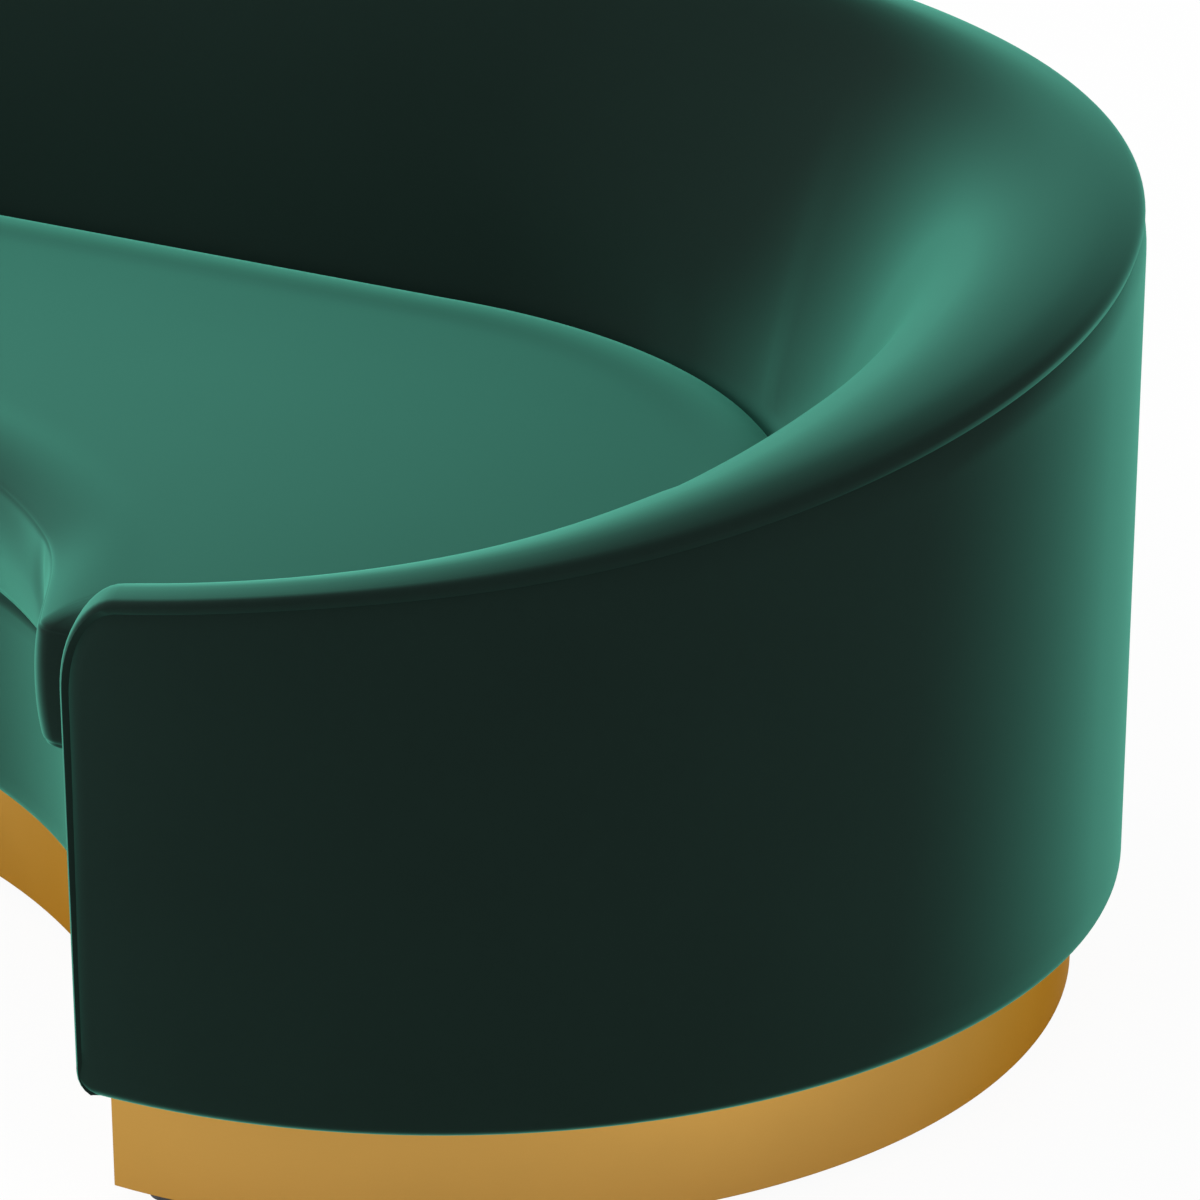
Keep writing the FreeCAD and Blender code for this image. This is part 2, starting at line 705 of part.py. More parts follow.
# Loose seat cushion: drawn-in seams, bulged boxing and a crowned top; a foam core inside a cover.
def cushion_solid(name, skin):
    foot = size("deck_top") + size("strap_thickness") + size("deck_cloth_thickness")
    foot = foot + size("clearance") + skin
    tall = size("cushion_height") - 2 * skin
    draw = size("cushion_draw")
    crown = size("cushion_crown")
    broad = size("crown_reach")
    levels = [
        (draw, 0.0),
        (draw * 0.28, tall * 0.16),
        (0.0, tall * 0.4),
        (0.0, tall * 0.6),
        (draw * 0.28, tall * 0.84),
        (draw, tall),
        (draw + broad * 0.1, tall + crown * 0.45),
        (draw + broad * 0.3, tall + crown * 0.77),
        (draw + broad * 0.6, tall + crown * 0.94),
        (draw + broad, tall + crown),
    ]
    wires = [seat_wire(inset + skin, foot + rise) for inset, rise in levels]
    obj = doc.addObject("Part::Feature", name)
    obj.Shape = Part.makeLoft(wires, True, True)
    return obj


cushion_form = cushion_solid("cushion_form", 0.0)
core = piece(cushion_solid("cushion_core", size("cushion_cover_thickness")), "cushion_core")
piece(cut("cushion_cover_shell", cushion_form, core), "cushion_cover")

doc.recompute()

failed = [obj.Name for obj in doc.Objects if "Invalid" in obj.State or "Error" in obj.State]
if failed:
    raise RuntimeError("not built: " + ", ".join(failed))
for obj in PIECES:
    shape = obj.Shape
    if shape.isNull() or not shape.isValid() or not shape.Solids:
        raise RuntimeError("no valid solid: " + obj.Label)
    if min(solid.Volume for solid in shape.Solids) <= 0:
        raise RuntimeError("empty solid: " + obj.Label)

os.makedirs("parts", exist_ok=True)
for obj in PIECES:
    obj.Shape.exportStep("parts/%s.step" % obj.Label)
    print("%-24s solids %2d  volume %.1f cm3" % (obj.Label, len(obj.Shape.Solids), obj.Shape.Volume / 1000))
print("pieces", len(PIECES))
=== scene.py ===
import math

import bmesh
import bpy
import numpy as np
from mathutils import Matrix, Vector


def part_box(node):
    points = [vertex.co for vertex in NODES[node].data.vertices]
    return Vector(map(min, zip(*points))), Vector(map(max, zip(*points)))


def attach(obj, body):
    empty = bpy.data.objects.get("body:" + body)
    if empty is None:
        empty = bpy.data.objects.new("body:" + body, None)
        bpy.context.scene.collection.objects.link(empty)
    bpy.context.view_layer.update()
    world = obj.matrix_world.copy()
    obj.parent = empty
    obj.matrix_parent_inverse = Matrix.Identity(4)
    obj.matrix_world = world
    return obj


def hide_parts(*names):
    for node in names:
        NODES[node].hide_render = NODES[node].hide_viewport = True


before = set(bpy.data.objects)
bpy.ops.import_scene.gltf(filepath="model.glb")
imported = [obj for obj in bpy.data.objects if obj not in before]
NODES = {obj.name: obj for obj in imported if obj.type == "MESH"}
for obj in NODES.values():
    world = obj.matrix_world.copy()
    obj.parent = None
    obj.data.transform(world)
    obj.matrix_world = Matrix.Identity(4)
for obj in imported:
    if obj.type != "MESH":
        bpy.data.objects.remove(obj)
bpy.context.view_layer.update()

bl_info = {
    "name": "Curved velvet sofa",
    "version": (1, 0, 0),
    "blender": (4, 5, 0),
    "location": "View3D > Sidebar > Sofa",
    "description": "Dresses the frame of a curved sofa with velvet covers, a seat cushion and a metal plinth",
    "category": "Object",
}

OUTER_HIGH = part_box("outer_cover_right")[1]
END_OFFSET = OUTER_HIGH.x - OUTER_HIGH.y
UPHOLSTERY_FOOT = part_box("outer_cover_right")[0].z
DECK_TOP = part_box("deck_board")[1].z
SKIRT_FOOT, SKIRT_TOP = (corner.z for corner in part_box("plinth_skirt_front"))
CUSHION_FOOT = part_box("cushion_cover")[0].z


# Sizes and colours


def length(name, description, default):
    return bpy.props.FloatProperty(name=name, description=description, default=default, unit="LENGTH")


def colour(name, description, default):
    return bpy.props.FloatVectorProperty(
        name=name, description=description, default=default, size=3, min=0, max=1, subtype="COLOR"
    )


def share(name, description, default):
    return bpy.props.FloatProperty(
        name=name, description=description, default=default, min=0, max=1, subtype="FACTOR"
    )


class SofaSizes(bpy.types.PropertyGroup):
    """Lengths of the sofa's covers, cushion and plinth."""

    lobe_radius: length("End radius", "Outer radius of the round ends", OUTER_HIGH.y)
    lobe_offset: length("End offset", "Middle of the sofa to the centre of a round end", END_OFFSET)
    waist_reach: length("Waist", "Front of the waist before the line of end centres", 0.067)
    arm_height: length("Arm seam height", "Height of the rim's seam at the arm's end", 0.515)
    back_height: length("Back seam height", "Height of the rim's seam along the back", 0.742)
    rim_width: length("Rim width", "Width of the rolled rim", 0.044)
    pad_edge: length("Padding edge", "Height where the padding meets the cushion", 0.420)
    arm_thickness: length("Arm thickness", "Outer cover to seat at the arm's end", 0.153)
    side_thickness: length("Side thickness", "Outer cover to seat at the side", 0.286)
    back_thickness: length("Back thickness", "Outer cover to seat at the back", 0.115)
    seat_end_radius: length("Seat end radius", "Radius of the seat's round end", 0.400)
    seat_corner_radius: length("Seat corner radius", "Radius of the seat's back corner", 0.558)
    cushion_gap: length("Cushion gap", "Cushion to padding", 0.0015)
    front_radius: length("Cushion front radius", "Radius of the cushion's hollow front", 0.690)
    overhang: length("Cushion overhang", "Cushion past the apron at the waist", 0.005)
    tip_radius: length("Cushion tip radius", "Radius of the cushion's front tips", 0.022)
    tip_flare: length("Cushion tip flare", "How far the front tips reach past the front's arc", 0.022)
    cushion_height: length("Cushion height", "Cushion's bottom to its top seam", 0.108)
    cushion_crown: length("Cushion crown", "Rise of the cushion's top above its seam", 0.013)
    cushion_draw: length("Seam draw", "How far the cushion's seams are drawn in", 0.009)
    corner_reach: length("Arm corner reach", "Rounding of the arm's top corner, along the arm", 0.045)
    corner_drop: length("Arm corner drop", "Rounding of the arm's top corner, downward", 0.075)
    plinth_inset: length("Plinth inset", "Outer cover to skirt", 0.040)
    plinth_front_inset: length("Plinth front inset", "Apron to skirt along the front", 0.018)


class SofaColours(bpy.types.PropertyGroup):
    """Finishes of the sofa's surfaces."""

    velvet_face: colour("Velvet pile", "Colour of the pile seen face on", (0.0051, 0.0119, 0.0094))
    velvet_sheen: colour("Velvet sheen", "Colour of the pile's sheen at grazing angles", (0.185, 0.86, 0.63))
    # Painted sheen: a pale base colour that the velvet turns toward at grazing view angles, on top of its
    # real sheen lobe
    velvet_painted_sheen: colour("Velvet tips", "Colour of the pile's tips from the side", (0.0255, 0.118, 0.0865))
    sheen_weight: share("Sheen", "Strength of the pile's sheen", 0.52)
    sheen_roughness: share("Sheen spread", "How widely the sheen spreads", 0.355)
    gold: colour("Gold metal", "Colour of the plinth's skirt", (0.523, 0.293, 0.069))
    gold_edge: colour("Gold edge", "Colour of the skirt's gloss at grazing angles", (0.70, 0.45, 0.17))
    plastic: colour("Glide plastic", "Colour of the floor glides", (0.045, 0.047, 0.055))
    ply: colour("Plywood", "Colour of the frame's wood", (0.55, 0.38, 0.21))
    zinc_dark: colour("Zinc, dull", "Darker colour of the plated screws and bolts", (0.45, 0.46, 0.47))
    zinc_pale: colour("Zinc, bright", "Paler colour of the plated screws and bolts", (0.62, 0.62, 0.60))
    lining: colour("Lining", "Colour of the deck's cloth and webbing", (0.012, 0.013, 0.014))
    floor: colour("Floor", "Colour of the studio floor", (0.86, 0.86, 0.86))


# Shader graphs


# Places of the Mix node's colour sockets, whose names it shares with other kinds
MIX_FACTOR, MIX_FIRST, MIX_SECOND, MIX_RESULT = 0, 6, 7, 2
WHITE = (1.0, 1.0, 1.0)


class Sock:
    """A shader socket that sums are written with."""

    def __init__(self, graph, socket):
        self.graph, self.socket = graph, socket

    def maths(self, operation, *values):
        return self.graph.node("ShaderNodeMath", {"operation": operation}, dict(enumerate(values)))

    def __add__(self, other):
        return self.maths("ADD", self, other)

    def __sub__(self, other):
        return self.maths("SUBTRACT", self, other)

    def __rsub__(self, other):
        return self.maths("SUBTRACT", other, self)

    def __mul__(self, other):
        return self.maths("MULTIPLY", self, other)

    def __pow__(self, other):
        return self.maths("POWER", self, other)

    def sine(self):
        return self.maths("SINE", self)

    __radd__ = __add__
    __rmul__ = __mul__


class Graph:
    """The node tree of a material or of the world."""

    def __init__(self, owner):
        owner.use_nodes = True
        self.tree = owner.node_tree
        self.tree.nodes.clear()

    def node(self, kind, settings=None, sockets=None, output=0):
        """Adds a node: its settings first, then the values or links of its sockets."""
        made = self.tree.nodes.new(kind)
        for name, value in (settings or {}).items():
            setattr(made, name, value)
        for key, value in (sockets or {}).items():
            into = made.inputs[key]
            if isinstance(value, Sock):
                self.tree.links.new(value.socket, into)
            elif into.type == "RGBA":
                into.default_value = (*value, 1)
            else:
                into.default_value = value
        return Sock(self, made.outputs[output]) if len(made.outputs) else None

    def place(self, scale=(1, 1, 1)):
        where = self.node("ShaderNodeTexCoord", output="Object")
        return self.node("ShaderNodeMapping", {}, {"Vector": where, "Scale": scale})

    def noise(self, where, scale, detail):
        return self.node("ShaderNodeTexNoise", {}, {"Vector": where, "Scale": scale, "Detail": detail}, "Fac")

    def mix(self, factor, first, second):
        sockets = {MIX_FACTOR: factor, MIX_FIRST: first, MIX_SECOND: second}
        return self.node("ShaderNodeMix", {"data_type": "RGBA"}, sockets, MIX_RESULT)

    def part(self, vector, axis):
        return self.node("ShaderNodeSeparateXYZ", {}, {"Vector": vector}, axis)

    def spread(self, value, first, last):
        """A value's place between two others, from 0 to 1."""
        return self.node("ShaderNodeMapRange", {}, {"Value": value, "From Min": first, "From Max": last})

    def bump(self, height, strength, distance):
        return self.node("ShaderNodeBump", {}, {"Strength": strength, "Distance": distance, "Height": height})

    def backdrop_rays(self):
        """Rays that see the white studio: straight from the camera, and off metal or through glass."""
        straight, gloss, through = (
            self.node("ShaderNodeLightPath", output=name)
            for name in ("Is Camera Ray", "Is Glossy Ray", "Is Transmission Ray")
        )
        return straight, gloss + through

    def surface(self, sockets):
        shader = self.node("ShaderNodeBsdfPrincipled", {}, sockets)
        self.node("ShaderNodeOutputMaterial", {}, {"Surface": shader})


def finish(name, build, *sizes):
    """A material by its name, built the first time that a piece asks for it."""
    made = bpy.data.materials.get(name)
    if made is None:
        made = bpy.data.materials.new(name)
        build(Graph(made), bpy.context.scene.sofa_colours, *sizes)
    return made


def tinted(base, factor):
    """A colour made darker or paler by a factor."""
    return tuple(min(1.0, c * factor) for c in base)


def velvet(g, tones):
    """Cut-pile velvet: dark face on, pale at grazing angles, with a faint mottled nap. The paleness is partly
    a real sheen lobe and partly painted sheen in the base colour.
    """
    here = g.place()
    brushed = g.noise(here, scale=5.0, detail=3.0)
    mottled = g.noise(here, scale=140.0, detail=3.0)
    pile = g.noise(here, scale=1400.0, detail=2.0)
    weave = g.noise(g.place((1.0, 1.0, 0.25)), scale=420.0, detail=1.0)
    nap = brushed * 0.5 + mottled * 0.3 + pile * 0.2
    face = g.mix(nap, tinted(tones.velvet_face, 0.72), tinted(tones.velvet_face, 1.28))
    # Painted sheen: the Layer Weight's view angle sets how far the base colour is blended toward a pale green
    # at grazing angles
    aside = g.node("ShaderNodeLayerWeight", {}, {"Blend": 0.5}, "Facing")
    tips = g.spread(aside, first=0.32, last=0.74) ** 1.7
    height = pile * 0.35 + weave * 0.15 + mottled * 0.5
    # Base colour: the mottled face colour, blended toward the painted sheen colour by that view-angle share
    g.surface({
        "Base Color": g.mix(tips * (0.9 + nap * 0.2), face, tones.velvet_painted_sheen),
        "Roughness": 0.82 + nap * 0.16,
        "Specular IOR Level": 0.05,
        "Sheen Weight": tones.sheen_weight,
        "Sheen Roughness": tones.sheen_roughness,
        "Sheen Tint": tones.velvet_sheen,
        "Normal": g.bump(height, strength=0.2, distance=0.0002),
    })


def gold_metal(g, tones):
    """Satin gold sheet: fine brushing along the skirt and faint handling marks."""
    lines = g.noise(g.place((1.0, 1.0, 40.0)), scale=60.0, detail=3.0)
    cloud = g.noise(g.place(), scale=7.0, detail=3.0)
    marks = cloud * 0.6 + lines * 0.4
    g.surface({
        "Base Color": g.mix(marks, tinted(tones.gold, 0.92), tinted(tones.gold, 1.08)),
        "Metallic": 1.0,
        "Roughness": 0.36 + lines * 0.08 + cloud * 0.06,
        "Specular Tint": tones.gold_edge,
        "Normal": g.bump(lines, strength=0.06, distance=0.0004),
    })


def glide_plastic(g, tones):
    """Moulded dark grey plastic with a fine spark texture."""
    grain = g.noise(g.place(), scale=1800.0, detail=2.0)
    scuff = g.noise(g.place(), scale=160.0, detail=3.0)
    g.surface({
        "Base Color": g.mix(scuff, tinted(tones.plastic, 0.85), tinted(tones.plastic, 1.2)),
        "Roughness": 0.5 + scuff * 0.2,
        "Normal": g.bump(grain, strength=0.2, distance=0.0003),
    })


def plywood(g, tones):
    """Unfinished plywood: grain along the sheet and thin plies on its edges."""
    grain = g.noise(g.place((1.0, 16.0, 1.0)), scale=14.0, detail=4.0)
    plies = g.noise(g.place((0.2, 0.2, 1.0)), scale=320.0, detail=0.0)
    streak = grain * 0.7 + plies * 0.3
    g.surface({
        "Base Color": g.mix(streak, tinted(tones.ply, 0.7), tinted(tones.ply, 1.22)),
        "Roughness": 0.62 + grain * 0.2,
        "Normal": g.bump(grain, strength=0.12, distance=0.0005),
    })


def zinc(g, tones):
    """Zinc-plated steel of the screws and bolts."""
    cloud = g.noise(g.place(), scale=300.0, detail=3.0)
    g.surface({
        "Base Color": g.mix(cloud, tones.zinc_dark, tones.zinc_pale),
        "Metallic": 1.0,
        "Roughness": 0.32 + cloud * 0.14,
    })


def lining(g, tones, pitch):
    """Plain-woven black cloth or webbing, with threads at a pitch in metres."""
    turns = 2 * math.pi / pitch
    here = g.node("ShaderNodeTexCoord", output="Object")
    warp = (g.part(here, "X") * turns).sine()
    weft = (g.part(here, "Y") * turns).sine()
    threads = warp * weft * 0.5 + 0.5
    fluff = g.noise(g.place(), scale=260.0, detail=3.0)
    worn = threads * 0.6 + fluff * 0.4
    g.surface({
        "Base Color": g.mix(worn, tinted(tones.lining, 0.6), tinted(tones.lining, 1.9)),
        "Roughness": 0.8 + fluff * 0.15,
        "Normal": g.bump(threads, strength=0.3, distance=pitch * 0.3),
    })


# Meshes


SHARP = math.radians(38)
TINY = 1e-12
HALVINGS = 50
FOLD_POINTS = 7


def strip_faces(rows, columns, wrap_columns=False, first=0):
    """Quads of a grid of points that is stored row by row."""
    faces = []
    for r in range(rows - 1):
        here, there = first + r * columns, first + (r + 1) * columns
        for c in range(columns if wrap_columns else columns - 1):
            after = (c + 1) % columns
            faces.append((here + c, here + after, there + after, there + c))
    return faces


def new_piece(name, points, faces, material, sharp=None):
    """An object in the sofa's frame, with smooth shading and its faces turned outward.
    Edges that turn by more than a given angle stay sharp."""
    mesh = bpy.data.meshes.new(name)
    mesh.from_pydata([tuple(p) for p in points], [], faces)
    shape = bmesh.new()
    shape.from_mesh(mesh)
    bmesh.ops.recalc_face_normals(shape, faces=shape.faces)
    shape.to_mesh(mesh)
    shape.free()
    mesh.validate()
    mesh.shade_smooth()
    if sharp:
        mesh.set_sharp_from_angle(angle=sharp)
    mesh.materials.append(material)
    obj = bpy.data.objects.new(name, mesh)
    bpy.context.scene.collection.objects.link(obj)
    return obj


def two_sided(upper, lower):
    """Points and faces of two grids that are joined along their edges."""
    rows, columns = upper.shape[:2]
    count = rows * columns
    faces = strip_faces(rows, columns)
    faces += [face[::-1] for face in strip_faces(rows, columns, first=count)]
    edge = [r * columns for r in range(rows)]
    edge += [(rows - 1) * columns + c for c in range(1, columns)]
    edge += [r * columns + columns - 1 for r in range(rows - 2, -1, -1)]
    edge += range(columns - 2, 0, -1)
    faces += [(a, b, b + count, a + count) for a, b in zip(edge, edge[1:] + edge[:1])]
    return np.concatenate([upper.reshape(-1, 3), lower.reshape(-1, 3)]), faces


def shell(grid, thickness):
    """Points and faces of a closed shell: the grid, and a copy set in along its normals."""
    normal = np.cross(np.gradient(grid, axis=0), np.gradient(grid, axis=1))
    normal /= np.maximum(np.linalg.norm(normal, axis=2, keepdims=True), TINY)
    return two_sided(grid, grid + normal * thickness)


def tube(grid):
    """Points and faces of closed loops joined in a row, with both ends capped."""
    rows, columns = grid.shape[:2]
    faces = strip_faces(rows, columns, wrap_columns=True)
    faces.append(tuple(range(columns)))
    faces.append(tuple(reversed(range((rows - 1) * columns, rows * columns))))
    return grid.reshape(-1, 3), faces


def mirrored(half):
    """A grid whose last row lies on the middle plane, followed by its mirror image."""
    other = half[::-1][1:].copy()
    other[:, :, 0] *= -1
    return np.concatenate([half, other])


def quarter(count):
    """Angles of a quarter turn."""
    return np.linspace(0, math.pi / 2, count)


def bell(reach, width):
    """Smoothing weights that fall off on both sides of a middle sample."""
    weights = np.exp(-0.5 * (np.arange(-reach, reach + 1) / width) ** 2)
    return weights / weights.sum()


def ramp(place, first, last):
    """Smooth step from 0 to 1 between two places."""
    part = float(np.clip((place - first) / (last - first), 0, 1))
    return part * part * (3 - 2 * part)


def between(ends, part):
    """The value at a part of the way from one end to the other."""
    return ends[0] + (ends[1] - ends[0]) * part


def round_drop(part):
    """Share of a quarter round's height that is lost at a part of its reach from the full height."""
    return 1 - math.sqrt(1 - part ** 2)


def meeting(low, high, passed):
    """The place between two others from which a test holds."""
    for _ in range(HALVINGS):
        middle = (low + high) / 2
        low, high = (low, middle) if passed(middle) else (middle, high)
    return low


def low_fold(radius, low):
    """Depth and height of points round a cover's lower edge, from underneath to its face."""
    return [(radius * (1 - math.sin(a)), low + radius * (1 - math.cos(a))) for a in quarter(FOLD_POINTS)]


# Plan and rim of the sofa


# The rim's seam: samples along it, and its departures from an even climb, in metres along the rim
SEAM_SAMPLES = 1400
CLIMB_SWELL, CLIMB_LAG = 0.085, 0.03
ARM_SWELL, ARM_SWELL_AT, ARM_SWELL_WIDE = 0.007, 0.2, 0.15
SIDE_LIFT, SIDE_LIFT_FROM, SIDE_LIFT_OVER = 0.004, 0.55, 0.4
SEAM_EASE, SEAM_EASE_SAMPLES = 0.07, 150
# The seat's edge, by angles in degrees round the end's centre
SEAT_FIRST, SEAT_LAST, SEAT_SAMPLES = -125, 90, 431
SEAT_EASE, SEAT_EASE_SAMPLES = 14, 40
# The outer cover's lean at its top seam, at the arm and at the side
LEAN, LEAN_FROM, LEAN_OVER = (0.0030, 0.0060), 0.05, 0.5
# Points along the cushion's outline: corner, end, tip and front
CORNER_POINTS, END_POINTS, TIP_POINTS, FRONT_POINTS = 46, 76, 16, 64
BACK_SPACING = 0.012
FLARE_BEFORE, FLARE_AFTER = 0.09, 0.21


class Plan:
    """Outer line, hollow front, rim and seat outline of the sofa, in metres."""

    def __init__(self, s):
        self.s, self.off, self.rad = s, s.lobe_offset, s.lobe_radius
        sag = s.lobe_radius - s.waist_reach
        self.front_r = (self.off ** 2 + sag ** 2) / (2 * sag)
        self.front_y = -s.waist_reach - self.front_r
        self.lobe_run = math.pi * self.rad
        end_r, corner_r = s.seat_end_radius, s.seat_corner_radius
        end_x = self.off + self.rad - s.side_thickness - end_r
        end_y = end_r - (self.rad - s.arm_thickness)
        corner_y = self.rad - s.back_thickness - corner_r
        corner_x = end_x - math.sqrt((corner_r - end_r) ** 2 - (end_y - corner_y) ** 2)
        self.corner, self.end = (corner_x, corner_y, corner_r), (end_x, end_y, end_r)
        self.turn = math.atan2(end_y - corner_y, end_x - corner_x)
        self.run = np.linspace(0, self.lobe_run + self.off, SEAM_SAMPLES)
        self.high = self.eased_climb(self.run)
        self.turns = np.radians(np.linspace(SEAT_FIRST, SEAT_LAST, SEAT_SAMPLES))
        self.reach = self.eased_reach(self.turns)

    def eased_climb(self, run):
        """Heights of the rim's seam, which climbs from the arm to the back."""
        s, pad = self.s, SEAM_EASE_SAMPLES
        u = np.minimum(run / self.lobe_run, 1.0)
        rise = u + CLIMB_SWELL * np.sin(math.pi * u) ** 2 - CLIMB_LAG * np.sin(2 * math.pi * u)
        high = s.arm_height + (s.back_height - s.arm_height) * rise
        high += ARM_SWELL * np.exp(-((run - ARM_SWELL_AT) / ARM_SWELL_WIDE) ** 2)
        high += SIDE_LIFT * np.clip((run - SIDE_LIFT_FROM) / SIDE_LIFT_OVER, 0, 1)
        before = high[0] + (high[1] - high[0]) * np.arange(-pad, 0)
        padded = np.concatenate([before, high, np.full(pad, high[-1])])
        return np.convolve(padded, bell(pad, SEAM_EASE / (run[1] - run[0])), "valid")

    def eased_reach(self, turns):
        """Distances from the outer cover to the seat's edge, eased where its arcs meet."""
        pad = SEAT_EASE_SAMPLES
        reach = np.array([self.seat_reach(turn) for turn in turns])
        before, after = 2 * reach[0] - reach[pad:0:-1], 2 * reach[-1] - reach[-2:-pad - 2:-1]
        return np.convolve(np.concatenate([before, reach, after]), bell(pad, SEAT_EASE), "valid")

    def pad_reach(self, angle):
        """The eased reach at one angle."""
        return float(np.interp(angle, self.turns, self.reach))

    def seam_height(self, run):
        return np.interp(run, self.run, self.high)

    def seam_lean(self, run):
        """How far the outer cover leans in at its top seam."""
        return float(between(LEAN, np.clip((run - LEAN_FROM) / LEAN_OVER, 0, 1)))

    def front_angle(self, rho):
        """Angle round the right end where the hollow front cuts a round of radius rho."""
        a, b = 2 * self.off * rho, -2 * self.front_y * rho
        c = self.front_r ** 2 - self.off ** 2 - rho ** 2 - self.front_y ** 2
        return math.atan2(b, a) - math.acos(max(-1.0, min(1.0, c / math.hypot(a, b))))

    def seat_reach(self, angle):
        """Distance inward from the outer cover to the padding's edge at the seat."""
        for x, y, radius in (self.corner, self.end):
            dx, dy = self.off - x, -y
            along = dx * math.cos(angle) + dy * math.sin(angle)
            hit = math.sqrt(along ** 2 - dx ** 2 - dy ** 2 + (radius + self.s.cushion_gap) ** 2) - along
            if math.atan2(dy + hit * math.sin(angle), dx + hit * math.cos(angle)) >= self.turn:
                break
        return self.rad - hit

    def back_reach(self, x):
        """Distance from the outer cover to the seat along the straight back."""
        cx, cy, radius = self.corner
        over = max(0.0, x - cx)
        return self.rad - (cy + math.sqrt((radius + self.s.cushion_gap) ** 2 - over ** 2))

    def outer(self, run):
        """Point and outward direction on the right half's outer line, from the arm's end to the middle."""
        if run <= self.lobe_run:
            angle = run / self.rad - math.pi / 2
            way = np.array([math.cos(angle), math.sin(angle)])
            return np.array([self.off, 0.0]) + self.rad * way, way
        return np.array([self.off - (run - self.lobe_run), self.rad]), np.array([0.0, 1.0])

    def round_end(self, offset, inward):
        """Plan point at a distance behind the arm's front face and inward of the outer cover."""
        rho = self.rad - inward
        angle = self.front_angle(rho) + offset / rho
        return self.off + rho * math.cos(angle), rho * math.sin(angle)

    def seat_outline(self, inset):
        """Right half of the cushion's outline, from the back's middle to the front's, drawn in by an inset.
        The same count of points comes for any inset."""
        s = self.s
        ex, ey, er = self.end[0], self.end[1], self.end[2] - inset
        cx, cy, cr = self.corner[0], self.corner[1], self.corner[2] - inset
        fr = s.front_radius + inset
        fy = -s.waist_reach - s.overhang - s.front_radius
        near, far = er - s.tip_radius, fr + s.tip_radius
        gap = math.hypot(ex, ey - fy)
        along = (far ** 2 - near ** 2 + gap ** 2) / (2 * gap)
        aside = math.sqrt(far ** 2 - along ** 2)
        ux, uy = ex / gap, (ey - fy) / gap
        tip = (along * ux + aside * uy, fy + along * uy - aside * ux)
        stop = math.atan2(tip[1] - ey, tip[0] - ex)
        meet = math.atan2(tip[1] - fy, tip[0])

        def arc(centre, radius, start, last, count):
            turn = np.linspace(start, last, count, endpoint=False)
            return np.stack([centre[0] + radius * np.cos(turn), centre[1] + radius * np.sin(turn)], 1)

        steps = round(cx / BACK_SPACING)
        outline = np.concatenate([
            np.stack([np.linspace(0, cx, steps, endpoint=False), np.full(steps, cy + cr)], 1),
            arc((cx, cy), cr, math.pi / 2, self.turn, CORNER_POINTS),
            arc((ex, ey), er, self.turn, stop, END_POINTS),
            arc(tip, s.tip_radius, stop, meet - math.pi, TIP_POINTS),
            arc((0, fy), fr, meet, math.pi / 2, FRONT_POINTS + steps % 2),
            [[0.0, fy + fr]],
        ])
        # The front edge flares out at its tip, which slides along the arm.
        first = steps + CORNER_POINTS + END_POINTS
        run = np.concatenate([[0.0], np.cumsum(np.linalg.norm(np.diff(outline, axis=0), axis=1))])
        before, after = run[first] - run, run - run[first + TIP_POINTS - 1]
        rise = np.clip(1 - before / FLARE_BEFORE, 0, 1) ** 2
        fall = 0.5 + 0.5 * np.cos(math.pi * np.clip(after / FLARE_AFTER, 0, 1))
        outline[:, 0] -= s.tip_flare * np.where(before > 0, rise, fall)
        return outline


# Inside cover


# The rim's seam: how the cover tucks in under the roll, and the gap above the outer cover
TUCK_IN = ((0.0045, -0.0038), (0.0040, -0.0010), (0.0030, 0.0006))
SEAM_GAP, FRONT_SET, FRONT_SEAM = 0.0009, 0.003, 0.0066
# The roll: places across it, and its sizes at the arm and at the side
ROLL_AT = (0.0, 0.001, 0.004, 0.010, 0.025, 0.05, 0.10, 0.20, 0.40, 0.70, 1.0)
ROLL_EDGE, ROLL_LIFT, ROLL_WIDER = (0.0028, 0.0050), (0.0017, 0.0062), 0.012
ROLL_TURN, ROLL_POWER = 0.25, 4
SIDE_FROM, SIDE_TO = 0.15, 0.65
# The slope: how far its brow reaches, as a share of its width that changes along the rim
BROW = 0.27
BROW_CHANGES = ((0.41, 0.1, 0.8), (-0.34, 0.9, 1.75), (0.26, 1.75, 2.3))
STEEPER, FOOT_PULL, SLOPE_END, FOOT_DROP, DECK_CLEARANCE = 0.18, 0.35, 0.975, 0.014, 0.001
# Numbers of lines along the cover: seam tuck, roll, slope, foot and wall
TUCK, ROLL, SLOPE, FOOT, WALL = len(TUCK_IN), len(ROLL_AT), 34, 5, 6
CREST, HEEL = TUCK + ROLL - 1, TUCK + ROLL + SLOPE
# The arm's facing
FACING_ROLL, FACING_TURN, FACING_CROWN, FACING_RETURN = 0.009, 0.006, 0.0025, 0.004
FACING_RISE, LOW_TURN, HEM_IN, HEM_UP = 0.0025, 0.014, 0.001, 0.004
# The arm's top corner: where its turn begins, below the rim and behind the facing
CORNER_RUN, CORNER_UNDER, CORNER_BEHIND, CORNER_LEAST = 0.05, 0.018, 0.016, 0.006
# Numbers of rows across the cover: hem, facing, corner, round end and half the back
HEM_ROWS, FACING_ROWS, CORNER_ROWS, END_ROWS, BACK_ROWS = 6, 20, 15, 96, 28
REACH_ROUNDS = 6
# Easing where the round end meets the back: rows smoothed, rows reached, lines left at the rim and the seat
EASE_SAMPLES, EASE_WIDTH, EASE_REACH, EASE_AT_RIM, EASE_AT_SEAT = 15, 5, 12, 8, 10
COVER_THICKNESS = 0.004


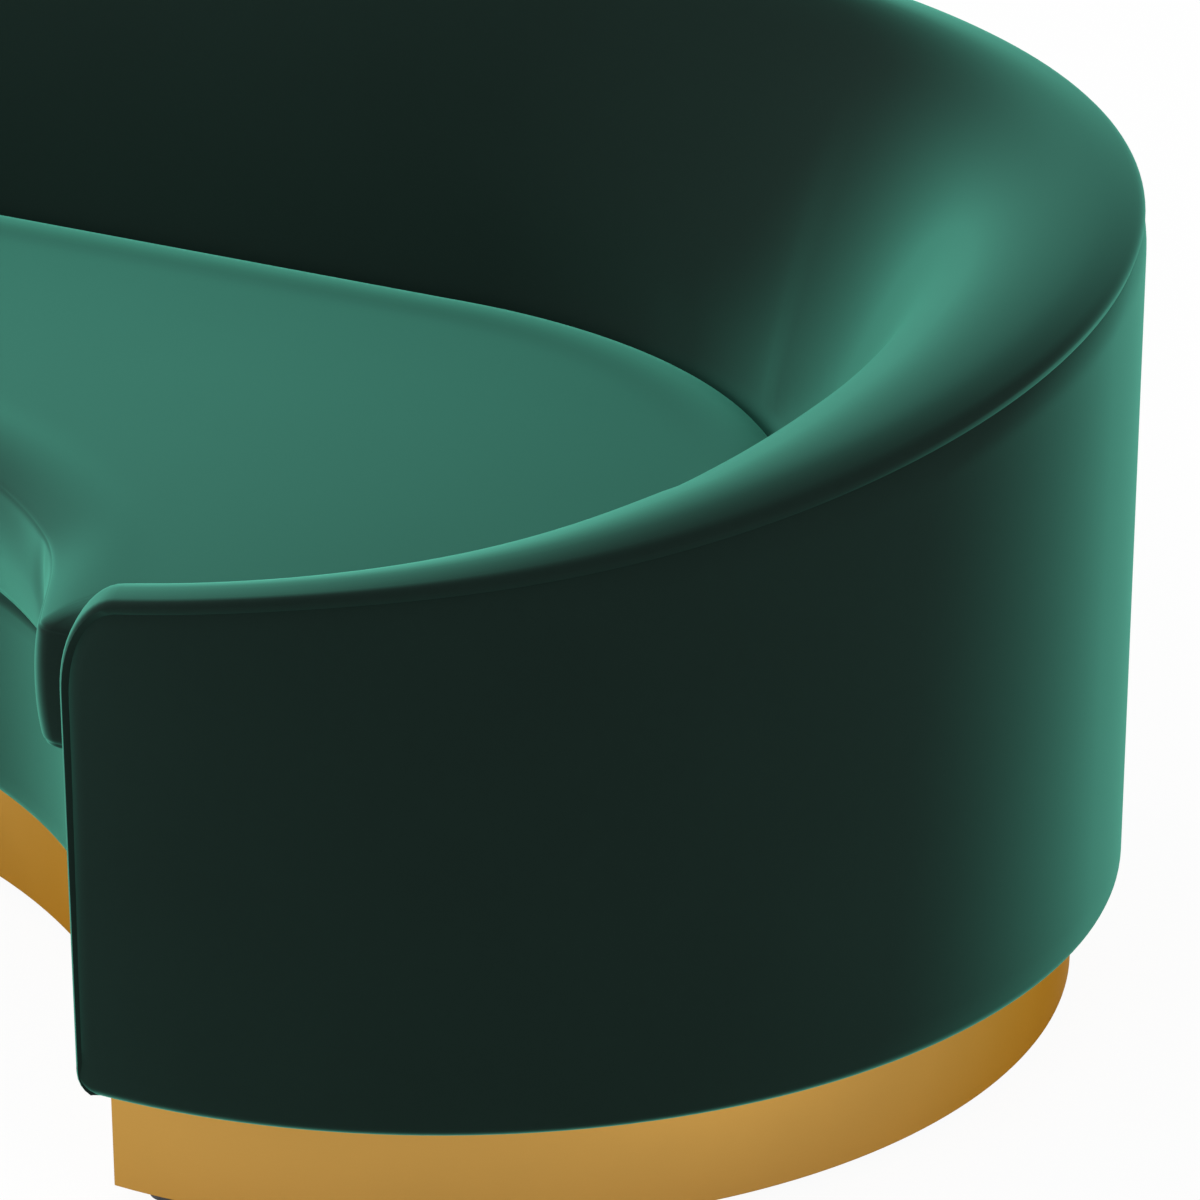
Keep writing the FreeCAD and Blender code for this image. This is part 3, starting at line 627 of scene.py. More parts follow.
def rim_section(plan, run, reach):
    """Inward distance and height of each line of the inside cover, at one place along the rim."""
    s = plan.s
    seam, lean = float(plan.seam_height(run)), plan.seam_lean(run)
    side = ramp(run, SIDE_FROM, SIDE_TO)
    wide = s.rim_width / 2 + ROLL_WIDER * side
    edge, lift = between(ROLL_EDGE, side), between(ROLL_LIFT, side)
    spots = [(lean + d, seam + z) for d, z in TUCK_IN]
    for part in ROLL_AT:
        turn = (1 - (1 - min(1.0, part / ROLL_TURN)) ** ROLL_POWER) ** (1 / ROLL_POWER)
        rise = edge * turn + lift * math.sin(math.pi / 2 * part)
        spots.append((lean + wide * part, seam + SEAM_GAP + rise))
    crest, foot = np.array(spots[-1]), np.array([reach, s.pad_edge])
    chord = foot - crest
    brow = BROW + sum(change * ramp(run, first, last) for change, first, last in BROW_CHANGES)
    fall = math.atan2(-chord[1], chord[0])
    steep = fall * (1 + STEEPER * (1 - (fall / (math.pi / 2)) ** 2))
    one = crest + np.array([brow * chord[0], 0.0])
    two = foot - FOOT_PULL * np.linalg.norm(chord) * np.array([math.cos(steep), -math.sin(steep)])
    t = np.linspace(0, SLOPE_END, SLOPE + 1)[1:, None]
    bow = (1 - t) ** 3 * crest + 3 * (1 - t) ** 2 * t * one + 3 * (1 - t) * t ** 2 * two + t ** 3 * foot
    under = foot - np.array([0.0, FOOT_DROP])
    t = np.linspace(0, 1, FOOT + 1)[1:, None]
    heel = (1 - t) ** 2 * bow[-1] + 2 * t * (1 - t) * foot + t ** 2 * under
    down = np.linspace(under[1], DECK_TOP + DECK_CLEARANCE, WALL + 1)[1:]
    wall = np.column_stack([np.full(WALL, reach), down])
    return np.concatenate([spots, bow, heel, wall])


def facing_lines(plan, top, reach):
    """Inward distance and distance behind the arm's front, of each line down the arm's facing."""
    lean = plan.seam_lean(0.0)
    front = FRONT_SEAM - SEAM_GAP
    spots = [(lean + d, FRONT_SEAM - z) for d, z in TUCK_IN]
    for a in quarter(ROLL):
        spots.append((lean + FACING_ROLL * (1 - math.cos(a)), front - (front - FRONT_SET) * math.sin(a)))
    start, stop = lean + FACING_ROLL, reach - FACING_TURN
    across = top[CREST:HEEL, 0]
    for part in (across[1:] - across[0]) / (across[-1] - across[0]):
        spots.append((between((start, stop), part), FRONT_SET - FACING_CROWN * math.sin(math.pi * part)))
    for a in quarter(FOOT + 1)[1:]:
        spots.append((stop + FACING_TURN * math.sin(a), FRONT_SET + FACING_TURN * (1 - math.cos(a))))
    behind = FRONT_SET + FACING_TURN
    spots += [(reach, behind + FACING_RETURN * t) for t in np.linspace(0, 1, WALL + 1)[1:]]
    return np.array(spots)


def facing_reach(plan):
    """Width of the arm's facing: outer cover to the seat, along the front."""
    narrowest, widest = 0.02, 0.4

    def meets_seat(inward):
        x, y = plan.round_end(0.0, inward)
        return math.hypot(x - plan.end[0], y - plan.end[1]) < plan.end[2] + plan.s.cushion_gap

    return meeting(narrowest, widest, meets_seat)


def eased_corner(grid):
    """The inside cover's half, with its slope eased along the rim where the round end meets the back."""
    rows, lines = grid.shape[:2]
    pad = EASE_SAMPLES
    full, weights = mirrored(grid), bell(pad, EASE_WIDTH)
    soft = grid.copy()
    for r in range(pad, rows):
        soft[r] = np.tensordot(weights, full[r - pad:r + pad + 1], 1)
    near = np.exp(-((np.arange(rows) - (rows - 1 - BACK_ROWS)) / EASE_REACH) ** 2)
    near[:pad] = 0.0
    inner = np.zeros(lines)
    for k in range(CREST, HEEL):
        inner[k] = ramp(k - CREST, 0, EASE_AT_RIM) * ramp(HEEL - 1 - k, 0, EASE_AT_SEAT)
    return grid + near[:, None, None] * inner[None, :, None] * (soft - grid)


def inside_cover_grid(plan):
    """Right half of the inside cover, from under the arm's facing over its corner to the back's middle."""
    s = plan.s
    reach = facing_reach(plan)
    top = rim_section(plan, CORNER_RUN, reach)
    across, behind = facing_lines(plan, top, reach).T
    seam = plan.seam_height(CORNER_RUN)
    hub_z = np.minimum(seam - s.corner_drop, top[:, 1] - CORNER_UNDER)
    lift = np.clip((top[:, 1] - s.pad_edge) / (seam - s.pad_edge), 0, 1)
    hub_s = between((CORNER_BEHIND, FRONT_SEAM + s.corner_reach), lift)
    hub_s = np.maximum(hub_s, behind + CORNER_LEAST)
    foot = UPHOLSTERY_FOOT + FACING_RISE
    begin = FRONT_SEAM + s.corner_reach
    rows = []

    def add_row(offsets, inwards, heights):
        rows.append([(*plan.round_end(o, d), z) for o, d, z in zip(offsets, inwards, heights)])

    def end_angle(rho, offset, part):
        first = plan.front_angle(rho) + offset / rho
        return between((first, math.pi / 2), part)

    level = np.ones(len(top))
    add_row(behind + LOW_TURN + HEM_IN, across, level * (foot + HEM_UP))
    for a in quarter(HEM_ROWS):
        height = foot + LOW_TURN * (1 - math.cos(a))
        add_row(behind + LOW_TURN * (1 - math.sin(a)), across, level * height)
    for part in np.linspace(0, 1, FACING_ROWS)[1:]:
        add_row(behind, across, between((foot + LOW_TURN, hub_z), part))
    for a in quarter(CORNER_ROWS)[1:]:
        turned = 1 - math.cos(a)
        here = rim_section(plan, FRONT_SEAM + s.corner_reach * turned, reach)
        inwards = between((across, top[:, 0]), math.sin(a) ** 2)
        add_row(between((behind, hub_s), turned), inwards, between((hub_z, here[:, 1]), math.sin(a)))
    for part in np.linspace(0, 1, END_ROWS + 1)[1:]:
        deep = reach
        for _ in range(REACH_ROUNDS):
            deep = plan.pad_reach(end_angle(plan.rad - deep, hub_s[-1], part))
        here = rim_section(plan, between((begin, plan.lobe_run), part), deep)
        row = []
        for (inward, height), offset in zip(here, hub_s):
            rho = plan.rad - inward
            angle = end_angle(rho, offset, part)
            row.append((plan.off + rho * math.cos(angle), rho * math.sin(angle), height))
        rows.append(row)
    for x in np.linspace(plan.off, 0, BACK_ROWS + 1)[1:]:
        here = rim_section(plan, plan.lobe_run + plan.off - x, plan.back_reach(x))
        rows.append([(x, plan.rad - inward, height) for inward, height in here])
    return eased_corner(np.array(rows))


# Outer cover


PANEL_FRONT, COVER_DROP, PANEL_TURN, PANEL_RETURN = 0.0056, 0.0015, 0.010, 0.030
# The dip along the panel's seam, wider where it leans more, and the points that trace the seam
DIP_WIDE, DIP_WIDER = 0.014, 4.5
TRACE_TURN, TRACE_TOP, TRACE_FRONT, TRACE_END = 60, 0.004, 0.003, 2.6
# The panel's foot comes forward round the arm's end
WRAP, WRAP_RUN, WRAP_TOP, WRAP_OVER = 0.0048, 0.08, 0.42, 0.27
# Loops along the panel, and rows up its face, closer near the seam
TURN_LOOPS, FIRST_TURN, END_LOOPS, BACK_LOOPS = 26, 0.05, 98, 29
FACE_ROWS, SEAM_ROWS, SEAM_SHARE, SEAM_CLOSER = 22, 20, 0.1, 2.2
# The panel's back: the seam's lip, then the inner face, as depths and heights
LIP, LIP_DROP, SHOULDER, SHOULDER_DROP = 0.0010, 0.0012, 0.0098, 0.0060
PANEL_DEPTH, INNER_TOP_DROP, INNER_LEAST, INNER_LOW, FOLD_THICKNESS = 0.0076, 0.029, 0.016, 0.0125, 0.0015


def outer_cover_grid(plan):
    """Right half of the outer cover, as closed loops from the arm's end to the back's middle."""
    s = plan.s
    begin, reach, foot = PANEL_FRONT, s.corner_reach, UPHOLSTERY_FOOT - COVER_DROP
    last = plan.lobe_run + plan.off
    runs = [begin + reach * (1 - math.cos(a)) for a in np.linspace(FIRST_TURN, math.pi / 2, TURN_LOOPS)]
    runs += list(np.linspace(begin + reach, plan.lobe_run, END_LOOPS)[1:])
    runs += list(np.linspace(plan.lobe_run, last, BACK_LOOPS)[1:])

    def top_at(run):
        return plan.seam_height(run) - s.corner_drop * round_drop(np.clip(1 - (run - begin) / reach, 0, 1))

    def low_at(run):
        return foot + LOW_TURN * round_drop(np.clip(1 - (run - begin) / LOW_TURN, 0, 1))

    traced = [begin + reach * (1 - math.cos(a)) for a in quarter(TRACE_TURN)]
    traced += list(np.arange(begin + reach, TRACE_END, TRACE_TOP))
    seam = [(run, top_at(run)) for run in traced]
    seam += [(begin, z) for z in np.arange(foot + LOW_TURN, top_at(begin), TRACE_FRONT)]
    seam = np.array(seam)

    def dip(run, z):
        away = np.sqrt(((seam - (run, z)) ** 2).sum(1).min())
        lean = plan.seam_lean(run)
        return lean * max(0.0, 1 - away / (DIP_WIDE + DIP_WIDER * (lean - LEAN[0]))) ** 2

    steps = np.concatenate([
        np.linspace(0, 1 - SEAM_SHARE, FACE_ROWS, endpoint=False)[1:],
        1 - SEAM_SHARE * (1 - np.linspace(0, 1, SEAM_ROWS)) ** SEAM_CLOSER,
    ])
    rows = []
    for run in runs:
        near = max(0.0, 1 - (run - begin) / WRAP_RUN)
        low, high = low_at(run), top_at(run)
        loop = [(PANEL_RETURN, low), *low_fold(PANEL_TURN, low)]
        loop += [(dip(run, z), z) for z in between((low + PANEL_TURN, high), steps)]
        loop += [
            (loop[-1][0] + LIP, high - LIP_DROP),
            (SHOULDER, high - SHOULDER_DROP),
            (PANEL_DEPTH, max(low + INNER_LEAST, high - INNER_TOP_DROP)),
            (PANEL_DEPTH, low + INNER_LOW),
            (PANEL_RETURN, low + FOLD_THICKNESS),
        ]
        row = []
        for inward, z in loop:
            spot, way = plan.outer(run - near * WRAP * ramp(WRAP_TOP - z, 0.0, WRAP_OVER))
            row.append((*(spot - way * inward), z))
        rows.append(row)
    return np.array(rows)


# Covers


def settle(obj, body, nodes):
    """Puts a piece on its body and the nodes that it stands for."""
    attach(obj, body)
    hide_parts(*nodes)


class SOFA_OT_outer_cover(bpy.types.Operator):
    """Makes the outer cover: one velvet panel round both ends and the back"""

    bl_idname = "sofa.outer_cover"
    bl_label = "Outer cover"

    def execute(self, context):
        plan = Plan(context.scene.sofa_sizes)
        points, faces = tube(mirrored(outer_cover_grid(plan)))
        obj = new_piece("outer_cover", points, faces, finish("cut_velvet", velvet), SHARP)
        settle(obj, "frame", ("outer_cover_left", "outer_cover_right", "outer_cover_back"))
        return {"FINISHED"}


class SOFA_OT_inside_cover(bpy.types.Operator):
    """Makes the inside cover: rolled rim, slope to the seat and the arms' facings in one"""

    bl_idname = "sofa.inside_cover"
    bl_label = "Inside cover"

    def execute(self, context):
        plan = Plan(context.scene.sofa_sizes)
        points, faces = shell(mirrored(inside_cover_grid(plan)), COVER_THICKNESS)
        obj = new_piece("inside_cover", points, faces, finish("cut_velvet", velvet), SHARP)
        nodes = ("arm_pad_left", "arm_pad_right", "back_pad", "arm_facing_left", "arm_facing_right")
        settle(obj, "frame", nodes)
        return {"FINISHED"}


# The apron's turned edges, and its lap over the deck board
APRON_LOW_TURN, APRON_TOP_TURN, APRON_LAP, LAP_RISE, LAP_THICKNESS = 0.012, 0.008, 0.026, 0.0009, 0.0007
APRON_DEPTH, APRON_RETURN = 0.0096, 0.0165
# Its ends, which turn in beside the arms' facings: angle of the closer loops, and the turn in metres
APRON_GAP, END_ANGLE, END_TURN, END_TUCK, TUCK_MOST = 0.0015, 0.012, 0.009, 0.004, 0.0098
APRON_END_LOOPS, APRON_LOOPS, APRON_ROWS, APRON_TOP_ROWS = 9, 130, 14, 6


class SOFA_OT_apron(bpy.types.Operator):
    """Makes the padded apron along the hollow front"""

    bl_idname = "sofa.apron"
    bl_label = "Front apron"

    def section(self):
        """Depth and height of the points round the apron, from its return over its face to the lap."""
        low, high = UPHOLSTERY_FOOT - COVER_DROP, DECK_TOP + LAP_RISE
        shoulder = high - APRON_TOP_TURN
        loop = [(APRON_RETURN, low), *low_fold(APRON_LOW_TURN, low)]
        loop += [(0.0, z) for z in np.linspace(low + APRON_LOW_TURN, shoulder, APRON_ROWS)[1:-1]]
        for a in quarter(APRON_TOP_ROWS):
            loop.append((APRON_TOP_TURN * (1 - math.cos(a)), shoulder + APRON_TOP_TURN * math.sin(a)))
        loop += [(APRON_LAP, high), (APRON_LAP, high - LAP_THICKNESS), (APRON_DEPTH, high - LAP_THICKNESS)]
        return loop + [(APRON_DEPTH, low + INNER_LOW), (APRON_RETURN, low + FOLD_THICKNESS)]

    def execute(self, context):
        plan = Plan(context.scene.sofa_sizes)
        x, y = plan.round_end(0.0, facing_reach(plan))
        most = math.atan2(x, y - plan.front_y) - APRON_GAP / plan.front_r
        inner = most - END_ANGLE
        closer = END_ANGLE * np.linspace(0, 1, APRON_END_LOOPS) ** 2
        angles = [-most + closer, np.linspace(-inner, inner, APRON_LOOPS)[1:-1], most - closer[::-1]]
        section = self.section()
        rows = []
        for angle in np.concatenate(angles):
            tuck = END_TUCK * round_drop(max(0.0, 1 - (most - abs(angle)) * plan.front_r / END_TURN))
            row = []
            for depth, z in section:
                rho = plan.front_r + min(depth + tuck, max(depth, TUCK_MOST))
                row.append((rho * math.sin(angle), plan.front_y + rho * math.cos(angle), z))
            rows.append(row)
        points, faces = tube(np.array(rows))
        obj = new_piece("front_apron_cover", points, faces, finish("cut_velvet", velvet))
        settle(obj, "frame", ("front_apron",))
        return {"FINISHED"}


# Cushion


# Rings of the cushion: insets on its bottom and top, and places up its boxing
CUSHION_INSETS = (0.189, 0.160, 0.132, 0.106, 0.082, 0.061, 0.043, 0.028, 0.016, 0.0070, 0.0014)
BOXING = (0.0, 0.014, 0.065, 0.15, 0.24, 0.34, 0.44, 0.54, 0.64, 0.74, 0.83, 0.92, 0.986, 1.0)
UNDER_LIP, LIP_WIDE, LIP_GAP, SEAM_GROOVE = 0.007, 0.016, 0.002, 0.002
BOXING_BULGE, BOXING_POWER, CROWN_POWER = 0.45, 2.2, 9
# Room to swell: of the top near its edge, and of the boxing along the open front, in points of a ring
FREE_EDGE, FREE_RISE = 0.065, 0.007
FRONT_SWELL, FRONT_OPEN, FRONT_EASE = 0.006, 72, 26
CLOSING_QUADS = 14
CLOTH = {
    "quality": 6, "mass": 0.4, "tension_stiffness": 25.0, "compression_stiffness": 25.0,
    "shear_stiffness": 12.0, "bending_stiffness": 6.0, "use_pressure": True, "uniform_pressure_force": 4.0,
}
CLOTH_FRAMES, LEAST_MOVE = 20, 1e-9


def cushion_ring(plan, inset, height):
    """Closed outline of the cushion drawn in by an inset, from the back's middle round the right end."""
    half = plan.seat_outline(inset)
    loop = np.concatenate([half, half[::-1][1:-1] * (-1, 1)])
    return np.column_stack([loop, np.full(len(loop), height)])


def close_ring(points, faces, first, count):
    """Closes an open ring by lines of quads that run from its back to its front."""
    half, far, deep = count // 2, count // 4, CLOSING_QUADS
    lines = {}
    for i in range(-far + 1, far):
        a, b = first + i % count, first + (half - i) % count
        start, stop = np.array(points[a]), np.array(points[b])
        made = [len(points) + step for step in range(deep - 1)]
        points += [tuple(between((start, stop), step / deep)) for step in range(1, deep)]
        lines[i] = [a, *made, b]
    for i in range(-far + 1, far - 1):
        one, two = lines[i], lines[i + 1]
        faces += [(one[j], one[j + 1], two[j + 1], two[j]) for j in range(deep)]
    for i, end in ((far - 1, first + far), (-far + 1, first + count - far)):
        faces += [(lines[i][j], lines[i][j + 1], end) for j in range(deep)]


def cushion_form(plan):
    """Points and faces of the cushion with drawn-in seams, boxing and crowned top, and each point's room."""
    s = plan.s
    foot, seam, draw = CUSHION_FOOT, CUSHION_FOOT + s.cushion_height, s.cushion_draw
    rings, limits = [], []
    for inset in CUSHION_INSETS:
        drop = UNDER_LIP * (1 - min(1.0, inset / LIP_WIDE)) ** 2
        rings.append(cushion_ring(plan, draw + inset, foot + drop))
        limits.append(0.0)
    seam_low = foot + UNDER_LIP + LIP_GAP
    for part in BOXING:
        inset = draw - BOXING_BULGE * draw * (1 - abs(2 * part - 1) ** BOXING_POWER)
        groove = SEAM_GROOVE if part in (0, 1) else 0.0
        rings.append(cushion_ring(plan, inset + groove, between((seam_low, seam), part) - groove * part))
        limits.append(inset if 0 < part < 1 else 0.0)
    for inset in CUSHION_INSETS[::-1]:
        rise = s.cushion_crown * (1 - (1 - inset / CUSHION_INSETS[0]) ** CROWN_POWER)
        rings.append(cushion_ring(plan, draw + inset, seam + rise))
        limits.append(FREE_RISE if inset < FREE_EDGE else 0.0)
    count = len(rings[0])
    faces = strip_faces(len(rings), count, wrap_columns=True)
    points = [tuple(p) for ring in rings for p in ring]
    limit = np.repeat(limits, count)
    # Along the open front the boxing has more room to swell.
    open_front = np.array([ramp(FRONT_OPEN - abs(i - count // 2), 0, FRONT_EASE) for i in range(count)])
    for r, part in list(enumerate(BOXING, len(CUSHION_INSETS)))[1:-1]:
        limit[r * count:(r + 1) * count] += FRONT_SWELL * (1 - abs(2 * part - 1) ** 2) * open_front
    for first in (0, (len(rings) - 1) * count):
        close_ring(points, faces, first, count)
    limit = np.concatenate([limit, np.zeros(len(points) - len(limit))])
    return np.array(points), faces, limit


def blow_up(obj, most):
    """Swells a piece as cloth under pressure; each point has a most that it may move, and some stay."""
    start = np.array([v.co for v in obj.data.vertices])
    group = obj.vertex_groups.new(name="held")
    group.add([int(i) for i in np.flatnonzero(most == 0)], 1.0, "REPLACE")
    cloth = obj.modifiers.new("cloth", "CLOTH")
    for name, value in CLOTH.items():
        setattr(cloth.settings, name, value)
    cloth.settings.vertex_group_mass = "held"
    cloth.settings.effector_weights.gravity = 0.0
    cloth.collision_settings.use_collision = False
    scene = bpy.context.scene
    for tick in range(1, CLOTH_FRAMES + 1):
        scene.frame_set(tick)
    settled = obj.evaluated_get(bpy.context.evaluated_depsgraph_get()).data
    move = np.array([v.co for v in settled.vertices]) - start
    obj.modifiers.remove(cloth)
    obj.vertex_groups.remove(group)
    scene.frame_set(1)
    far = np.linalg.norm(move, axis=1, keepdims=True)
    move *= np.minimum(1.0, most[:, None] / np.maximum(far, LEAST_MOVE))
    for vertex, place in zip(obj.data.vertices, start + move):
        vertex.co = place


class SOFA_OT_cushion(bpy.types.Operator):
    """Makes the loose seat cushion and blows it up as cloth"""

    bl_idname = "sofa.cushion"
    bl_label = "Seat cushion"

    def execute(self, context):
        plan = Plan(context.scene.sofa_sizes)
        points, faces, limit = cushion_form(plan)
        obj = new_piece("seat_cushion", points, faces, finish("cut_velvet", velvet))
        blow_up(obj, limit)
        smooth = obj.modifiers.new("smooth", "SUBSURF")
        smooth.levels = smooth.render_levels = 1
        settle(obj, "cushion", ("cushion_core", "cushion_cover"))
        return {"FINISHED"}


# Plinth


SKIRT_THICKNESS, SKIRT_EDGE, SKIRT_EDGE_SHARE, SKIRT_EDGE_POINTS = 0.003, 0.0012, 0.45, 5
SKIRT_END_LOOPS, SKIRT_BACK_LOOPS, SKIRT_FRONT_LOOPS = 110, 30, 150
PAST_FRONT = 0.5


def skirt_section():
    """Depth and height of the points round the skirt's sheet, with softly rounded edges."""
    r = min(SKIRT_EDGE, SKIRT_THICKNESS * SKIRT_EDGE_SHARE)
    back, low, high = SKIRT_THICKNESS - r, SKIRT_FOOT + r, SKIRT_TOP - r
    loop = []
    for corner, (depth, z) in enumerate(((back, high), (r, high), (r, low), (back, low))):
        for a in quarter(SKIRT_EDGE_POINTS) + corner * math.pi / 2:
            loop.append((depth + r * math.cos(a), z + r * math.sin(a)))
    return loop


def skirt_corner(plan, reach, hollow, depth):
    """Plan point where the side's skirt meets the front's, at a depth behind their faces."""
    rho = reach - depth

    def at(angle):
        return plan.off + rho * math.cos(angle), rho * math.sin(angle)

    def behind_front(angle):
        x, y = at(angle)
        return math.hypot(x, y - plan.front_y) >= hollow + depth

    return at(meeting(-math.pi / 2 - PAST_FRONT, 0.0, behind_front))


class SOFA_OT_plinth(bpy.types.Operator):
    """Makes the plinth's gold skirt in its four lengths"""

    bl_idname = "sofa.plinth"
    bl_label = "Plinth skirt"

    def length_of_skirt(self, name, path, section, first=None, last=None):
        """Sweeps the section along plan points and inward directions; its ends may be mitred."""
        band = np.array([[(*(spot + way * depth), z) for depth, z in section] for spot, way in path])
        for end, mitre in ((0, first), (-1, last)):
            if mitre is not None:
                band[end] = mitre
        obj = new_piece("skirt_" + name, *tube(band), finish("satin_gold", gold_metal), SHARP)
        settle(obj, "frame", ("plinth_skirt_" + name,))

    def execute(self, context):
        s = context.scene.sofa_sizes
        plan = Plan(s)
        section = skirt_section()
        reach = plan.rad - s.plinth_inset
        hollow = plan.front_r + s.plinth_front_inset
        right = np.array([(*skirt_corner(plan, reach, hollow, depth), z) for depth, z in section])
        left = right * (-1, 1, 1)
        x, y = skirt_corner(plan, reach, hollow, 0.0)
        start, most = math.atan2(y, x - plan.off), math.atan2(x, y - plan.front_y)
        for name, side, mitre in (("right", 1, right), ("left", -1, left)):
            path = []
            for a in np.linspace(start, math.pi / 2, SKIRT_END_LOOPS):
                way = np.array([-math.cos(a) * side, -math.sin(a)])
                path.append((np.array([plan.off * side, 0.0]) - way * reach, way))
            self.length_of_skirt(name, path, section, first=mitre)
        way = np.array([0.0, -1.0])
        path = [(np.array([x, reach]), way) for x in np.linspace(-plan.off, plan.off, SKIRT_BACK_LOOPS)]
        self.length_of_skirt("back", path, section)
        path = []
        for a in np.linspace(-most, most, SKIRT_FRONT_LOOPS):
            way = np.array([math.sin(a), math.cos(a)])
            path.append((np.array([0.0, plan.front_y]) + way * hollow, way))
        self.length_of_skirt("front", path, section, first=left, last=right)
        return {"FINISHED"}


# A glide's shape, from its top face to the recess for its screw, in metres and in shares of its radius
GLIDE_TOP, GLIDE_SHOULDER, SHOULDER_FALL = 0.72, 0.90, 0.0006
WAIST_DROP, WAIST_IN, BASE_TOP, BASE_TURN = 0.002, 0.0015, 0.0045, 0.003
RECESS_MOUTH, RECESS_RADIUS, RECESS_EDGE, RECESS_DEPTH = 0.0056, 0.0050, 0.0006, 0.0032
WAIST_ROWS, BASE_ROWS, GLIDE_TURNS, GLIDE_APART = 4, 6, 36, 0.06


def glide_profile(reach, tall):
    """Radius and height of the rings of a glide, without its two middle points."""
    rings = [(reach * GLIDE_TOP, tall), (reach * GLIDE_SHOULDER, tall - SHOULDER_FALL)]
    for a in quarter(WAIST_ROWS):
        rings.append((reach - WAIST_IN * (1 - math.cos(a)), tall - WAIST_DROP - WAIST_IN * a))
    rings.append((reach, BASE_TOP))
    for a in quarter(BASE_ROWS):
        rings.append((reach - BASE_TURN * (1 - math.cos(a)), BASE_TURN * (1 - math.sin(a))))
    return rings + [(RECESS_MOUTH, 0.0), (RECESS_RADIUS, RECESS_EDGE), (RECESS_RADIUS, RECESS_DEPTH)]


class SOFA_OT_glides(bpy.types.Operator):
    """Makes the moulded floor glides with their rounded rims and screw recesses"""

    bl_idname = "sofa.glides"
    bl_label = "Floor glides"

    def execute(self, context):
        spots = []
        for vertex in NODES["floor_glides"].data.vertices:
            spot = np.array(vertex.co[:2])
            near = [group for group in spots if np.linalg.norm(group[0] - spot) < GLIDE_APART]
            if near:
                near[0].append(spot)
            else:
                spots.append([spot])
        low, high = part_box("floor_glides")
        tall = high.z - low.z
        points, faces = [], []
        for group in spots:
            middle = (np.min(group, 0) + np.max(group, 0)) / 2
            rings = glide_profile(np.ptp(group, axis=0).max() / 2, tall)
            first = len(points)
            for radius, z in rings:
                for turn in np.linspace(0, 2 * math.pi, GLIDE_TURNS, endpoint=False):
                    way = np.array([math.cos(turn), math.sin(turn)])
                    points.append((*(middle + radius * way), low.z + z))
            faces += strip_faces(len(rings), GLIDE_TURNS, wrap_columns=True, first=first)
            for ring, z in ((0, tall), (len(rings) - 1, RECESS_DEPTH)):
                hub, start = len(points), first + ring * GLIDE_TURNS
                points.append((*middle, low.z + z))
                faces += [(start + i, start + (i + 1) % GLIDE_TURNS, hub) for i in range(GLIDE_TURNS)]
        obj = new_piece("glides", points, faces, finish("moulded_grey", glide_plastic))
        settle(obj, "frame", ("floor_glides",))
        return {"FINISHED"}


# Deck and frame


STRAPS, STRAP_ROWS, STRAP_POINTS, STRAP_SQUARE, STRAP_ROUND = 7, 40, 28, 0.22, 0.5
STRAP_PITCH, CLOTH_PITCH, STRAP_MARGIN = 0.003, 0.0012, 0.002
CLOTH_QUADS, CLOTH_LEAST_INSET, CLOTH_LIFT = 40, 0.004, 0.0002
RIPPLE, RIPPLES_ACROSS, RIPPLES_DEEP, RIPPLE_POWER = 0.00025, 90, 70, 6


def cloth_span(edge, x):
    """Front and back of the lining cloth's outline at one place across the sofa, less a margin."""
    after = np.roll(edge, -1, axis=0)
    cut = (edge[:, 0] - x) * (after[:, 0] - x) < 0
    one, two = edge[cut], after[cut]
    y = one[:, 1] + (x - one[:, 0]) / (two[:, 0] - one[:, 0]) * (two[:, 1] - one[:, 1])
    return y.min() + STRAP_MARGIN, y.max() - STRAP_MARGIN


def rounded(value, power):
    """A sine or cosine pushed outward, which squares a circle's corners."""
    return math.copysign(abs(value) ** power, value)


class SOFA_OT_deck(bpy.types.Operator):
    """Makes the webbing straps and the lining cloth that lies over them"""

    bl_idname = "sofa.deck"
    bl_label = "Deck webbing and cloth"

    def strap(self, number, edge):
        """One webbing strap, kept within the lining cloth's outline."""
        node = "webbing_strap_%d" % number
        low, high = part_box(node)
        middle, half = (low + high) / 2, (high - low) / 2
        fronts, backs = zip(cloth_span(edge, low.x), cloth_span(edge, high.x))
        path = np.linspace(max(low.y, *fronts), min(high.y, *backs), STRAP_ROWS)
        loop = []
        for a in np.linspace(0, 2 * math.pi, STRAP_POINTS, endpoint=False):
            x = middle.x + half.x * rounded(math.cos(a), STRAP_SQUARE)
            loop.append((x, middle.z + half.z * rounded(math.sin(a), STRAP_ROUND)))
        points, faces = tube(np.array([[(x, y, z) for x, z in loop] for y in path]))
        obj = new_piece("strap_%d" % number, points, faces, finish("woven_webbing", lining, STRAP_PITCH))
        settle(obj, "frame", (node,))

    def execute(self, context):
        plan = Plan(context.scene.sofa_sizes)
        low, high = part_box("deck_cloth")
        inset = max(CLOTH_LEAST_INSET, plan.end[0] + plan.end[2] - high.x)
        edge = cushion_ring(plan, inset, 0.0)[:, :2]
        for number in range(1, STRAPS + 1):
            self.strap(number, edge)
        count, far = len(edge), len(edge) // 4
        lines = np.arange(-far + 1, far)
        start, stop = edge[lines % count], edge[(count // 2 - lines) % count]
        across = np.linspace(0, 1, CLOTH_QUADS + 1)[None, :]
        x, y = (start[:, axis, None] + (stop - start)[:, axis, None] * across for axis in (0, 1))
        give = np.sin(math.pi * across) * (1 - np.abs(lines[:, None] / far) ** RIPPLE_POWER)
        ripple = RIPPLE * np.sin(x * RIPPLES_ACROSS) * np.sin(y * RIPPLES_DEEP) * give
        upper, lower = (np.stack([x, y, z + ripple], 2) for z in (high.z, low.z + CLOTH_LIFT))
        obj = new_piece("lining_cloth", *two_sided(upper, lower), finish("lining_weave", lining, CLOTH_PITCH))
        settle(obj, "frame", ("deck_cloth",))
        return {"FINISHED"}


